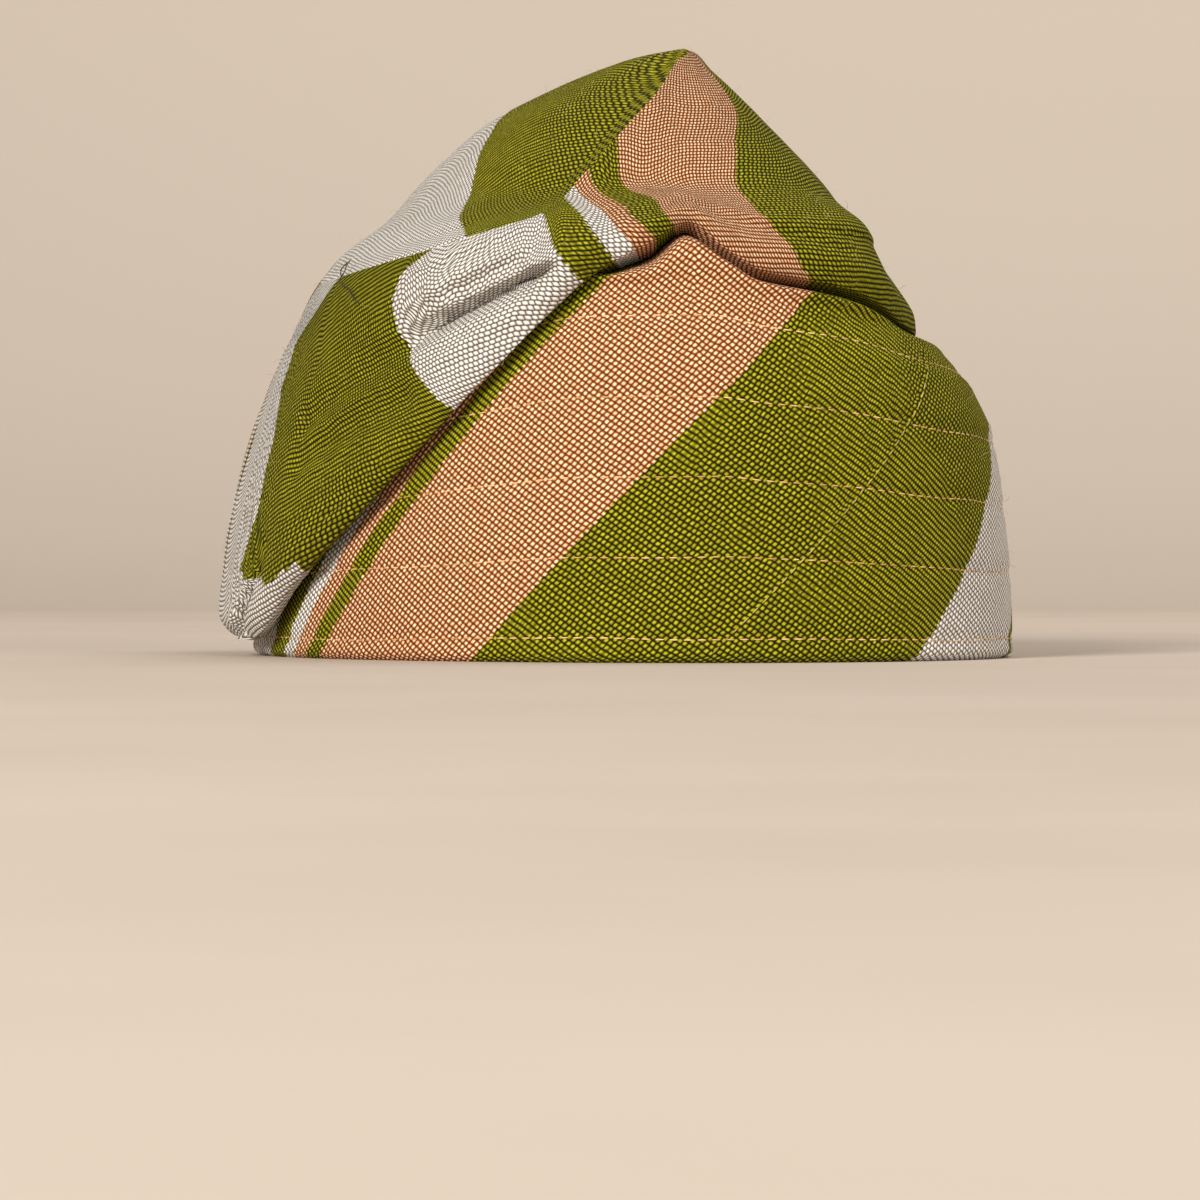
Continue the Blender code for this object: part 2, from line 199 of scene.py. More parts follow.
# Where the stripes of the crown's front panel lie: each line's place across the cloth in
# millimetres, and its angle at each height above the band, as a share of the crown's rise
STRIPE_HEIGHTS = (
    -1.14, -1.07, -1.0, -0.75, -0.5, -0.28, -0.12, 0.0, 0.1, 0.2, 0.3, 0.45, 0.6, 0.75, 1.0
)
STRIPE_LINES = (
    (-231.0, (-165,) * 15),
    (-172.0, (-109, -112, -115, -118, -114, -116, -114, -108, -102, -98, -94, -90, -86, -84, -82)),
    (-147.5, (-104, -104, -103, -97, -97.5, -101, -101, -91, -84, -78, -73, -66, -60, -55, -50)),
    (-90.5, (-40, -40, -40, -42, -46, -56.5, -62, -63.3, -61.5, -55, -51, -47, -44, -42, -40)),
    (-57.5, (-28,) * 6 + (-29, -31, -34, -36.7, -38, -38.5, -38.5, -38, -37)),
    (-51.5, (-24,) * 7 + (-25.5, -28, -31, -33.4, -36.5, -37, -36.5, -36)),
    (-46.0, (-19,) * 6 + (-20, -21.5, -23.5, -26, -29.5, -33.5, -34.5, -34.5, -34)),
    (-40.5, (-16,) * 6 + (-17, -18.5, -20.5, -21.7, -25.4, -28.5, -31.5, -32.5, -32)),
    (-35.0, (-13,) * 6 + (-14, -15, -17, -18.5, -21.2, -23.6, -25.1, -26.8, -28)),
    (0.0, (4,) * 6 + (3, 1.5, -2.3, -4.2, -7, -3, 0.6, 8.5, 12)),
    (36.0, (14,) * 7 + (13.5, 12.5, 11.3, 14, 22, 32, 45, 60)),
    (68.0, (40,) * 9 + (41, 44, 52, 62, 75, 90)),
    (101.0, (66,) * 9 + (68, 70, 78, 88, 100, 115)),
    (200.0, (180,) * 15),
)

# The folded cloth's white end at the bottom of the pouch: the height of its upper edge at each
# angle, where its middle lies across the stripes in millimetres, and the share of its true width
END_ANGLES = (-135, -122, -112, -103.3, -99, -96.4, -93.8, -91, -88.7, -86.2, -80, -74)
END_HEIGHTS = (-1.5, -1.06, -1.0, -1.013, -1.045, -1.055, -1.013, -1.05, -1.077, -1.06, -0.98, -1.5)
END_MIDDLE = -97.0
END_PLACE = -265.0
END_SHARE = 0.8


class Dye(Enum):
    """The three colours of yarn in the cloth."""

    RUST = "rust"
    OLIVE = "olive"
    WHITE = "white"


# Stripes across each cloth: where each starts, in millimetres, and its dye
BAND_STRIPES = (
    (-250.0, Dye.OLIVE), (-220.0, Dye.RUST), (-185.0, Dye.OLIVE), (-117.0, Dye.WHITE),
    (-84.2, Dye.OLIVE), (-77.2, Dye.WHITE), (-71.6, Dye.RUST), (-67.0, Dye.OLIVE), (-61.5, Dye.RUST),
    (-26.2, Dye.OLIVE), (42.4, Dye.WHITE), (75.4, Dye.OLIVE), (81.4, Dye.WHITE), (86.8, Dye.RUST),
    (92.5, Dye.OLIVE), (97.9, Dye.RUST), (133.0, Dye.OLIVE), (201.0, Dye.WHITE), (234.0, Dye.OLIVE),
)
FRONT_STRIPES = (
    (-300.0, Dye.OLIVE), (-296.0, Dye.WHITE), (-231.0, Dye.RUST), (-196.0, Dye.OLIVE),
    (-190.0, Dye.RUST), (-184.0, Dye.WHITE), (-178.0, Dye.OLIVE), (-172.0, Dye.WHITE),
    (-147.5, Dye.OLIVE), (-90.5, Dye.WHITE), (-57.5, Dye.OLIVE), (-51.5, Dye.WHITE), (-46.0, Dye.RUST),
    (-40.5, Dye.OLIVE), (-35.0, Dye.RUST), (0.0, Dye.OLIVE), (68.0, Dye.WHITE), (101.0, Dye.OLIVE),
    (107.0, Dye.WHITE), (112.5, Dye.RUST), (118.0, Dye.OLIVE), (123.5, Dye.RUST), (158.5, Dye.OLIVE),
)
BACK_STRIPES = (
    (-160.0, Dye.OLIVE), (-110.0, Dye.RUST), (-75.0, Dye.OLIVE), (-69.0, Dye.RUST), (-63.0, Dye.WHITE),
    (-57.0, Dye.OLIVE), (-51.0, Dye.WHITE), (0.0, Dye.OLIVE), (68.0, Dye.RUST), (103.0, Dye.OLIVE),
    (108.6, Dye.RUST), (114.0, Dye.WHITE), (119.6, Dye.OLIVE), (125.6, Dye.WHITE),
)
STRIPE_SPAN = 300.0


def named_rows(columns: Sequence[str], rows: Sequence[Sequence[float]]) -> tuple:
    """Turn a table's rows into dictionaries by column."""
    return tuple(dict(zip(columns, row)) for row in rows)


TABLES = {
    "band": named_rows(BAND_COLUMNS, BAND_ROWS),
    "crown": named_rows(CROWN_COLUMNS, CROWN_ROWS),
    "seam": named_rows(SEAM_COLUMNS, SEAM_ROWS),
}
DOME = named_rows(DOME_COLUMNS, DOME_ROWS)
PLEATS = named_rows(PLEAT_COLUMNS, PLEAT_ROWS)
TUCKS = named_rows(TUCK_COLUMNS, TUCK_ROWS)


def joint_slope(before: float, after: float) -> float:
    """The slope at a table's row, flat at a turning point, so that no value overshoots.

    Args:
        before: The slope of the stretch before it.
        after: The slope of the stretch after it.

    Returns:
        The slope.
    """
    if before * after <= 0.0:
        return 0.0
    return 2.0 * before * after / (before + after)


def hermite(start: Any, start_run: Any, end: Any, end_run: Any, along: float) -> Any:
    """A cubic between two values or points.

    Args:
        start: The first value.
        start_run: The run at the first value, over the whole stretch.
        end: The last value.
        end_run: The run at the last value, over the whole stretch.
        along: The share of the stretch, from 0 to 1.

    Returns:
        The value at that share.
    """
    rest = 1.0 - along
    return (
        start * ((1.0 + 2.0 * along) * rest * rest)
        + start_run * (along * rest * rest)
        + end * (along * along * (3.0 - 2.0 * along))
        - end_run * (along * along * rest)
    )


@lru_cache(maxsize=None)
def around(table: str, column: str, angle: float) -> float:
    """A column of a table of sections at an angle, smoothly and all the way round.

    Args:
        table: The table's name.
        column: The column's name.
        angle: Degrees from the front.

    Returns:
        The column's value there.
    """
    sections = TABLES[table]
    count = len(sections)
    index = sum(1 for row in sections if row["angle"] <= angle) - 1
    rows = [sections[(index + i) % count] for i in (-1, 0, 1, 2)]
    turns = [math.floor((index + i) / count) for i in (-1, 0, 1, 2)]
    angles = [row["angle"] + 360.0 * turn for row, turn in zip(rows, turns)]
    values = [row[column] for row in rows]
    slopes = [(values[i + 1] - values[i]) / (angles[i + 1] - angles[i]) for i in range(3)]
    span = angles[2] - angles[1]
    return hermite(
        values[1],
        joint_slope(slopes[0], slopes[1]) * span,
        values[2],
        joint_slope(slopes[1], slopes[2]) * span,
        (angle - angles[1]) / span,
    )


def fade(share: float) -> float:
    """A smooth fall from 1 to 0 as a share runs from 0 to 1."""
    rest = 1.0 - min(max(share, 0.0), 1.0)
    return rest * rest * (3.0 - 2.0 * rest)


def between(value: float, places: Sequence[float], results: Sequence[float]) -> float:
    """Straight interpolation in a rising list of places.

    Args:
        value: Where to read.
        places: The rising places.
        results: The result at each place.

    Returns:
        The result at the value, the end's beyond either end.
    """
    if value <= places[0]:
        return results[0]
    for low, high, start, end in zip(places, places[1:], results, results[1:]):
        if value <= high:
            return start + (end - start) * (value - low) / (high - low)
    return results[-1]


@dataclass(frozen=True)
class CapForm:
    """The cap's outer form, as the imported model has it, around its own upright axis."""

    half_width: float = 0.080
    half_depth: float = 0.100
    band_height: float = 0.0755
    band_lean: float = 0.016
    crown_rise: float = 0.0565
    fold_stand: float = 0.009
    fold_rounding: float = 0.005
    rounding_share: float = 0.4
    peak_forward: float = 0.030
    seam_step: float = 0.0045
    seam_width: float = 0.005
    seam_fade: float = 0.020
    crown_wall: float = 0.0015
    seat_gap: float = 0.0003
    pouch_gap: float = 0.0012
    crease_gap: float = 0.0020
    hidden_levels: tuple = (0.12, 0.27, 0.47, 0.72, 1.00)
    hidden_share: float = 0.6
    lip_share: float = 0.7
    tuck_edge: float = 0.0008
    tuck_crease: float = 0.0015
    tuck_taper: float = 0.2

    def rim_radius(self, angle: float, half_width: float = 0.0, half_depth: float = 0.0) -> float:
        """The radius of an oval at an angle, the rim's if no half sizes are given.

        Args:
            angle: Degrees from the front.
            half_width: Half the oval's width, or 0 for the rim's.
            half_depth: Half the oval's depth, or 0 for the rim's.

        Returns:
            The radius.
        """
        turn = math.radians(angle)
        wide = half_width or self.half_width
        deep = half_depth or self.half_depth
        return 1.0 / math.hypot(math.sin(turn) / wide, math.cos(turn) / deep)

    def band_top(self, angle: float) -> float:
        """The band's height at an angle."""
        return self.band_height * around("band", "height", angle)

    def lean_share(self, share: float) -> float:
        """The band's lean at a share of its height, as a share of its lean at the top."""
        return between(share, [row[0] for row in LEAN_LEVELS], [row[1] for row in LEAN_LEVELS])

    def band_radius(self, angle: float, height: float) -> float:
        """The radius of the band's outer face at an angle and height.

        Args:
            angle: Degrees from the front.
            height: The height above the floor.

        Returns:
            The radius.
        """
        share = min(max(height / self.band_top(angle), 0.0), 1.0)
        lean = self.band_lean * around("band", "lean", angle)
        return self.rim_radius(angle) - lean * self.lean_share(share)

    def seat_points(self, angle: float) -> list:
        """The crown's lower edge, which carries on the line of the band's wall.

        Args:
            angle: Degrees from the front.

        Returns:
            Radius and height of its inner and its outer corner.
        """
        top = self.band_top(angle)
        below = top * LEAN_LEVELS[-2][0]
        edge = Vector((self.band_radius(angle, top), top))
        along = (edge - Vector((self.band_radius(angle, below), below))).normalized()
        return [edge + along * self.seat_gap, edge + along * (self.seat_gap + self.crown_wall)]

    def shoulder_point(self, angle: float) -> Vector:
        """The crown's shoulder, above which it leans in to the peak.

        Args:
            angle: Degrees from the front.

        Returns:
            A radius and a height.
        """
        return Vector((
            self.rim_radius(angle) * around("crown", "out", angle),
            self.band_height + self.crown_rise * around("crown", "up", angle),
        ))

    def fold_points(self, angle: float) -> list:
        """The roll over the band, the crease behind it, and the fold that hangs over it.

        Args:
            angle: Degrees from the front.

        Returns:
            Radius and height of the roll, the crease, the hidden layer, the hem and the bulge.
        """
        top = self.band_top(angle)
        neck = top + self.crown_rise * around("crown", "neck", angle)
        tuck = self.fold_stand * around("crown", "tuck", angle)
        hem = top - self.band_height * around("crown", "drop", angle)
        hem_reach = self.fold_stand * around("crown", "hem", angle)
        belly_reach = self.fold_stand * around("crown", "belly", angle)
        edge = self.band_radius(angle, top) + min(hem_reach, 0.0)
        crease = neck + max(hem - neck, self.crease_gap) / 2.0
        mouth = min(max((1.0 + (hem - neck) / self.crease_gap) / 2.0, 0.0), 1.0)
        turn = edge + self.pouch_gap * (1.0 - mouth) - tuck * mouth
        room = (self.shoulder_point(angle).y - hem) * self.rounding_share
        belly = hem + min(self.fold_rounding, room)
        fold_edge = self.band_radius(angle, hem) + hem_reach
        points = [Vector((edge, neck)), Vector((turn, crease))]
        hidden_gap = self.hidden_share * min(self.fold_rounding, neck - hem) * (1.0 - mouth)
        for i, share in enumerate(self.hidden_levels, 1):
            hidden = crease + (hem + hidden_gap - crease) * share
            inner = Vector((self.band_radius(angle, hidden) + self.pouch_gap, hidden))
            lip_along = self.lip_share * i / len(self.hidden_levels)
            lip = points[1].lerp(Vector((fold_edge, hem)), lip_along)
            points.append(inner.lerp(lip, mouth))
        points.append(Vector((fold_edge, hem)))
        points.append(Vector((self.band_radius(angle, belly) + belly_reach, belly)))
        return points

    def face_point(self, angle: float, belly: Vector) -> Vector:
        """The fold's face, halfway between its bulge and the shoulder."""
        middle = (belly + self.shoulder_point(angle)) / 2.0
        return middle + Vector((self.fold_stand * around("crown", "swell", angle), 0.0))

    def dome_point(self, angle: float, level: dict) -> Vector:
        """A radius and height on one of the levels above the shoulder.

        Args:
            angle: Degrees from the front.
            level: The level's row.

        Returns:
            A radius and a height.
        """
        height = self.band_height + self.crown_rise * level["height"]
        if level["width"] == 0.0:
            return Vector((0.0, height))
        wide = self.half_width * level["width"]
        return Vector((self.rim_radius(angle, wide, self.half_depth * level["depth"]), height))

    def place(self, angle: float, point: Vector, forward: float = 0.0, side: float = 0.0) -> Vector:
        """The place in space of a section's radius and height, around an axis that may be moved.

        Args:
            angle: Degrees from the front.
            point: The radius and height.
            forward: The axis's shift, as a share of the peak's.
            side: Its shift to the side, as a share of the half width.

        Returns:
            The place.
        """
        turn = math.radians(angle)
        return Vector((
            point.x * math.sin(turn) + self.half_width * side,
            -point.x * math.cos(turn) - self.peak_forward * forward,
            point.y,
        ))

    def seam_height(self, angle: float) -> float:
        """The top seam's height at an angle."""
        return self.band_height + self.crown_rise * around("seam", "height", angle)

    def step_out(self, angle: float, height: float) -> float:
        """How far the panel below the top seam stands proud at an angle and height.

        Args:
            angle: Degrees from the front.
            height: The height above the floor.

        Returns:
            The lift, outwards.
        """
        above = height - self.seam_height(angle)
        share = above / self.seam_width if above > 0.0 else -above / self.seam_fade
        return self.seam_step * around("seam", "step", angle) * fade(share)

    def beside_line(self, line: dict, angle: float, height: float) -> tuple:
        """A spot from the start of a pleat's or tuck's line, and the line's run, on cloth laid flat.

        Args:
            line: The pleat's or tuck's row.
            angle: Degrees from the front.
            height: The height above the floor.

        Returns:
            The spot and the run.
        """
        reach = self.rim_radius((line["start_angle"] + line["end_angle"]) / 2.0)
        start, end = [
            Vector((
                reach * math.radians(line[side + "_angle"]),
                self.band_height + self.crown_rise * line[side + "_height"],
            ))
            for side in ("start", "end")
        ]
        return Vector((reach * math.radians(angle), height)) - start, end - start

    def pleat_in(self, angle: float, height: float) -> float:
        """How deep the pleats lie at an angle and height.

        Args:
            angle: Degrees from the front.
            height: The height above the floor.

        Returns:
            The depth, inwards.
        """
        depth = 0.0
        for pleat in PLEATS:
            spot, run = self.beside_line(pleat, angle, height)
            along = min(max(spot.dot(run) / run.length_squared, 0.0), 1.0)
            distance = (spot - run * along).length
            depth += MM * pleat["depth"] * fade(distance / (MM * pleat["width"]))
        return depth

    def tuck_out(self, angle: float, height: float) -> float:
        """How far the tucks lift the cloth at an angle and height.

        Args:
            angle: Degrees from the front.
            height: The height above the floor.

        Returns:
            The lift, outwards.
        """
        lift = 0.0
        for tuck in TUCKS:
            spot, run = self.beside_line(tuck, angle, height)
            along = spot.dot(run) / run.length_squared
            if not 0.0 < along < 1.0:
                continue
            if run.x < 0.0:
                run = -run
            aside = run.cross(spot) / run.length
            side_lift = tuck["upper"] if aside > 0.0 else tuck["lower"]
            middle = (tuck["upper"] + tuck["lower"]) / 2.0
            sharp = fade(abs(aside) / self.tuck_edge)
            height_here = side_lift + (middle - side_lift) * sharp
            taper = 1.0 - fade(min(along, 1.0 - along) / self.tuck_taper)
            lift += MM * height_here * taper * fade(abs(aside) / (MM * tuck["width"]))
            lift -= MM * tuck["crease"] * taper * fade(abs(aside) / self.tuck_crease)
        return lift

    def rim_arc(self, angle: float) -> float:
        """The way round the rim from the middle of the camera's view to an angle."""
        return rim_table(self).at(angle)

    def rim_angle(self, arc: float) -> float:
        """The angle at a way round the rim.

        Args:
            arc: The way round.

        Returns:
            Degrees from the front.
        """
        table = rim_table(self)
        low = bisect(table.lengths, arc, 1, len(table.lengths) - 1) - 1
        share = (arc - table.lengths[low]) / (table.lengths[low + 1] - table.lengths[low])
        return table.start + (low + share) * table.step


@dataclass(frozen=True)
class RimTable:
    """The way round the rim, added up in small steps."""

    start: float
    step: float
    lengths: tuple

    def at(self, angle: float) -> float:
        """The way round from the start of the table to an angle.

        Args:
            angle: Degrees from the front.

        Returns:
            The way round.
        """
        place = (angle + 180.0) / self.step
        low = min(max(int(place), 0), len(self.lengths) - 2)
        share = place - low
        return self.lengths[low] * (1.0 - share) + self.lengths[low + 1] * share


@lru_cache(maxsize=None)
def rim_table(form: CapForm) -> RimTable:
    """Add up the rim's length in steps of one degree, with its zero at the camera's view.

    Args:
        form: The cap's form.

    Returns:
        The table.
    """
    spots = [form.place(a, Vector((form.rim_radius(a), 0.0))) for a in range(-180, 181)]
    lengths = [0.0]
    for spot, following in zip(spots, spots[1:]):
        lengths.append(lengths[-1] + (following - spot).length)
    zero = lengths[180 + round(Studio.azimuth)]
    return RimTable(-180.0, 1.0, tuple(length - zero for length in lengths))


def smooth_curve(points: Sequence[Vector], steps: Sequence[int]) -> list:
    """Points on one smooth curve through a section's control points.

    Args:
        points: The control points.
        steps: How many stretches to make between each two.

    Returns:
        The points, one more than the sum of the steps.
    """
    ends = [2.0 * points[0] - points[1], *points, 2.0 * points[-1] - points[-2]]
    curve = []
    for i, count in enumerate(steps):
        before, start, end, after = ends[i:i + 4]
        span = (end - start).length
        start_run = (end - before) * (span / ((start - before).length + span))
        end_run = (after - start) * (span / ((after - end).length + span))
        for step in range(count):
            curve.append(hermite(start, start_run, end, end_run, step / count))
    curve.append(points[-1])
    return curve


class Wire:
    """A shader socket, on which Python's operators add Math nodes."""

    def __init__(self, tree: bpy.types.NodeTree, socket: bpy.types.NodeSocket) -> None:
        """Wrap a socket of a node tree."""
        self.tree = tree
        self.socket = socket

    def math(
        self, operation: str, *others: Union["Wire", float], before: Optional[float] = None
    ) -> "Wire":
        """Add a Math node that works on this socket.

        Args:
            operation: The Math node's operation.
            *others: The values after this socket, as wires or numbers.
            before: A number that stands before this socket.

        Returns:
            The result.
        """
        node = self.tree.nodes.new("ShaderNodeMath")
        node.operation = operation
        values = (self, *others) if before is None else (before, self)
        for socket, value in zip(node.inputs, values):
            if isinstance(value, Wire):
                self.tree.links.new(value.socket, socket)
            else:
                socket.default_value = value
        return Wire(self.tree, node.outputs[0])

    def __add__(self, other: Union["Wire", float]) -> "Wire":
        """Add."""
        return self.math("ADD", other)

    def __radd__(self, other: float) -> "Wire":
        """Add to a number."""
        return self.math("ADD", before=other)

    def __sub__(self, other: Union["Wire", float]) -> "Wire":
        """Subtract."""
        return self.math("SUBTRACT", other)

    def __rsub__(self, other: float) -> "Wire":
        """Subtract from a number."""
        return self.math("SUBTRACT", before=other)

    def __mul__(self, other: Union["Wire", float]) -> "Wire":
        """Multiply."""
        return self.math("MULTIPLY", other)

    def __rmul__(self, other: float) -> "Wire":
        """Multiply a number."""
        return self.math("MULTIPLY", before=other)

    def __truediv__(self, other: Union["Wire", float]) -> "Wire":
        """Divide."""
        return self.math("DIVIDE", other)

    def __rtruediv__(self, other: float) -> "Wire":
        """Divide a number."""
        return self.math("DIVIDE", before=other)

    def __abs__(self) -> "Wire":
        """The size without the sign."""
        return self.math("ABSOLUTE")

    def __gt__(self, other: Union["Wire", float]) -> "Wire":
        """1 where this is greater, and else 0."""
        return self.math("GREATER_THAN", other)

    def __lt__(self, other: Union["Wire", float]) -> "Wire":
        """1 where this is smaller, and else 0."""
        return self.math("LESS_THAN", other)


class NodeKit:
    """One material's node tree and the few ways in which this script adds to it."""

    def __init__(self, name: str) -> None:
        """Start a material with one Principled BSDF.

        Args:
            name: The material's name.
        """
        self.material = bpy.data.materials.new(name)
        self.material.use_nodes = True
        self.tree = self.material.node_tree
        self.surface = self.tree.nodes["Principled BSDF"]

    def node(
        self, kind: str, settings: Optional[dict] = None, inputs: Optional[dict] = None
    ) -> bpy.types.Node:
        """Add a node of any kind.

        Args:
            kind: The node's type.
            settings: Its settings, set first; stops are a ramp's places and colours.
            inputs: Values or wires, by a socket's identifier.

        Returns:
            The node.
        """
        made = self.tree.nodes.new(kind)
        for key, value in (settings or {}).items():
            if key == "stops":
                self.set_stops(made.color_ramp, value)
            elif key == "interpolation":
                made.color_ramp.interpolation = value
            else:
                setattr(made, key, value)
        sockets = {socket.identifier: socket for socket in made.inputs}
        for key, value in (inputs or {}).items():
            if isinstance(value, Wire):
                self.tree.links.new(value.socket, sockets[key])
            else:
                sockets[key].default_value = value
        return made

    @staticmethod
    def set_stops(ramp: bpy.types.ColorRamp, stops: Sequence[tuple]) -> None:
        """Give a ramp its places and colours.

        Args:
            ramp: The ramp.
            stops: A place and a colour for each stop.
        """
        while len(ramp.elements) < len(stops):
            ramp.elements.new(1.0)
        for element, (place, colour) in zip(ramp.elements, stops):
            element.position = place
            element.color = (*colour, 1.0)

    def wire(self, node: bpy.types.Node, output: Union[int, str] = 0) -> Wire:
        """Wrap one of a node's outputs."""
        return Wire(self.tree, node.outputs[output])

    def mix(self, factor: Union[Wire, float], first: Any, second: Any) -> Wire:
        """Mix two colours by a factor."""
        values = {"Factor_Float": factor, "A_Color": first, "B_Color": second}
        return self.wire(self.node("ShaderNodeMix", {"data_type": "RGBA"}, values), 2)

    def pick(self, factor: Wire, first: Wire, second: Wire) -> Wire:
        """The first number where the factor is 0, the second where it is 1."""
        return first + (second - first) * factor

    def rise(self, value: Wire, low: float, high: float) -> Wire:
        """A smooth rise from 0 to 1 as a value runs from low to high."""
        limits = {"Value": value, "From Min": low, "From Max": high}
        return self.wire(self.node("ShaderNodeMapRange", {"interpolation_type": "SMOOTHSTEP"}, limits))

    def noise(self, scale: float, detail: float) -> Wire:
        """A noise texture's value, from 0 to 1, on the object's own coordinates.

        Args:
            scale: The noise's scale, in spans per metre.
            detail: How many finer layers it has.

        Returns:
            The value.
        """
        place = self.wire(self.node("ShaderNodeTexCoord"), "Object")
        values = {"Vector": place, "Scale": scale, "Detail": detail}
        return self.wire(self.node("ShaderNodeTexNoise", None, values))

    def sway(self, scale: float, detail: float, amount: float) -> Wire:
        """A noise that swings to either side of 0, by up to half the amount."""
        return (self.noise(scale, detail) - 0.5) * amount

    def bump(self, height: Wire, distance: float, strength: float = 1.0) -> Wire:
        """A bumped normal from a height of 0 to 1, which stands for 0 to a distance."""
        values = {"Strength": strength, "Distance": distance, "Height": height}
        return self.wire(self.node("ShaderNodeBump", None, values))

    def dress(self, **sockets: Any) -> bpy.types.Material:
        """Fill the surface's sockets by name and return the material.

        Args:
            **sockets: A value or a wire for each socket, with _ for a space in its name.

        Returns:
            The material.
        """
        for name, value in sockets.items():
            socket = self.surface.inputs[name.replace("_", " ")]
            if isinstance(value, Wire):
                self.tree.links.new(value.socket, socket)
            else:
                socket.default_value = value
        return self.material


@dataclass(frozen=True)
class Yarn:
    """One dye's colours: a painted highlight for the lit tops of the raised beads, the yarn's own
    colour for the ground between them, and painted shade for the gaps; and its weave's traits: the
    share of it that is ribbed, the shift of every second row, and how even the beads' painted
    highlight is."""

    bead_highlight: tuple
    ground: tuple
    gap: tuple
    traits: tuple


# Each dye's bead colour is a painted highlight on the tops of the weave's raised beads, and its gap
# colour is painted shade between them; the ground is the yarn's own colour
YARNS = {
    Dye.RUST: Yarn((1.0, 0.75, 0.51), (0.46, 0.168, 0.05), (0.11, 0.024, 0.005), (0.0, 0.25, 0.6)),
    Dye.OLIVE: Yarn(
        (0.47, 0.435, 0.014), (0.102, 0.096, 0.0006), (0.008, 0.007, 0.0001), (1.0, 0.4, 0.55)
    ),
    Dye.WHITE: Yarn((0.98, 0.96, 0.93), (0.62, 0.57, 0.51), (0.14, 0.11, 0.085), (0.0, 1.0, 0.95)),
}


@dataclass(frozen=True)
class StripedCloth:
    """Handwoven cotton in stripes. Its maps hold millimetres across and along the stripes. A drift,
    jitter, fray or patch is a noise: its scale, its detail, and its amount or its range."""

    name: str
    front_stripes: tuple
    back_stripes: tuple = ()
    pitch: float = 1.06
    pick_pitch: float = 1.24
    tone: float = 0.66
    zigzag: float = 0.22
    bead_height: float = 0.00034
    edge_fray: tuple = (220.0, 2.0, 0.9)
    end_drift: tuple = (45.0, 1.0, 0.6)
    pick_drift: tuple = (38.0, 1.0, 1.1)
    end_jitter: tuple = (230.0, 1.0, 0.44)
    pick_jitter: tuple = (260.0, 1.0, 0.52)
    bead_roundness: float = 0.75
    ribs_per_pitch: float = 1.5
    rib_patches: tuple = (26.0, 2.0)
    rib_range: tuple = (0.48, 0.62)
    # Bump heights over which the gaps' painted shade gives way to the yarn's ground, and over which
    # the painted highlight comes in on the beads
    gap_shade_range: tuple = (0.14, 0.50)
    highlight_range: tuple = (0.54, 0.88)
    blotches: tuple = (9.0, 3.0)
    blotch_tone: float = 0.25
    lint: tuple = (700.0, 2.0)
    lint_tone: float = 0.40
    fluff: tuple = (1500.0, 2.0)
    fluff_height: float = 0.30
    chance_height: float = 0.15
    dullest: float = 0.95
    sheen_share: float = 0.12
    specular: float = 0.12

    def ramp(self, kit: NodeKit, across: Wire, stripes: tuple, part: str) -> Wire:
        """The colour of one part of the yarn across the stripes.

        Args:
            kit: The material's nodes.
            across: Millimetres across the cloth.
            stripes: Where each stripe starts, and its dye.
            part: The yarn's painted highlight on the beads, its own ground colour, or the painted
                shade in its gaps.

        Returns:
            The colour.
        """
        stops = [
            (
                min(max((start + STRIPE_SPAN) / (2.0 * STRIPE_SPAN), 0.0), 1.0),
                getattr(YARNS[dye], part),
            )
            for start, dye in stripes
        ]
        share = (across + STRIPE_SPAN) / (2.0 * STRIPE_SPAN)
        settings = {"interpolation": "CONSTANT", "stops": stops}
        return kit.wire(kit.node("ShaderNodeValToRGB", settings, {"Fac": share}))

    def cloth_axes(self, kit: NodeKit, layer: str) -> tuple:
        """Millimetres across and along the stripes, from one of the piece's maps.

        Args:
            kit: The material's nodes.
            layer: The map's name.

        Returns:
            The two values.
        """
        uv = kit.wire(kit.node("ShaderNodeUVMap", {"uv_map": layer}))
        parts = kit.node("ShaderNodeSeparateXYZ", None, {"Vector": uv})
        return kit.wire(parts, "X"), kit.wire(parts, "Y")

    def make(self) -> bpy.types.Material:
        """Build the material.

        Returns:
            The cloth's material.
        """
        kit = NodeKit(self.name)
        across, along = self.cloth_axes(kit, "front")
        panel = None
        if self.back_stripes:
            attribute = kit.node("ShaderNodeAttribute", {"attribute_name": "panel"})
            panel = kit.wire(attribute, "Fac") > 0.0
            back_across, back_along = self.cloth_axes(kit, "back")
            across = kit.pick(panel, across, back_across)
            along = kit.pick(panel, along, back_along)

        steps = (along * (math.pi / self.pitch)).math("SINE").math("SIGN")
        edge = across + steps * self.zigzag + kit.sway(*self.edge_fray)
        parts = {}
        for part in ("gap", "ground", "bead_highlight", "traits"):
            colour = self.ramp(kit, edge, self.front_stripes, part)
            if panel is not None:
                colour = kit.mix(panel, colour, self.ramp(kit, edge, self.back_stripes, part))
            parts[part] = colour
        traits = kit.node("ShaderNodeSeparateXYZ", None, {"Vector": parts["traits"]})
        ribbing, brick, evenness = [kit.wire(traits, axis) for axis in "XYZ"]

        ends = (across + kit.sway(*self.end_drift)) / self.pitch + kit.sway(*self.end_jitter)
        picks = (along + kit.sway(*self.pick_drift)) / self.pick_pitch + kit.sway(*self.pick_jitter)
        row = picks.math("FLOOR")
        ends = ends + row.math("MODULO", 2.0).math("ABSOLUTE") * 0.5 * brick
        warp = abs((ends * math.pi).math("SINE"))
        weft = abs((picks * math.pi).math("SINE"))
        beads = (warp * weft).math("POWER", self.bead_roundness)
        ribs = weft * (abs((ends * (math.pi * self.ribs_per_pitch)).math("SINE")) * 0.5 + 0.5)
        ribbed = kit.rise(kit.noise(*self.rib_patches), *self.rib_range) * ribbing
        height = beads + (ribs - beads) * ribbed
        cell = kit.node("ShaderNodeCombineXYZ", None, {"X": row, "Y": ends.math("FLOOR")})
        chance = kit.wire(kit.node(
            "ShaderNodeTexWhiteNoise", {"noise_dimensions": "2D"}, {"Vector": kit.wire(cell)}
        ))
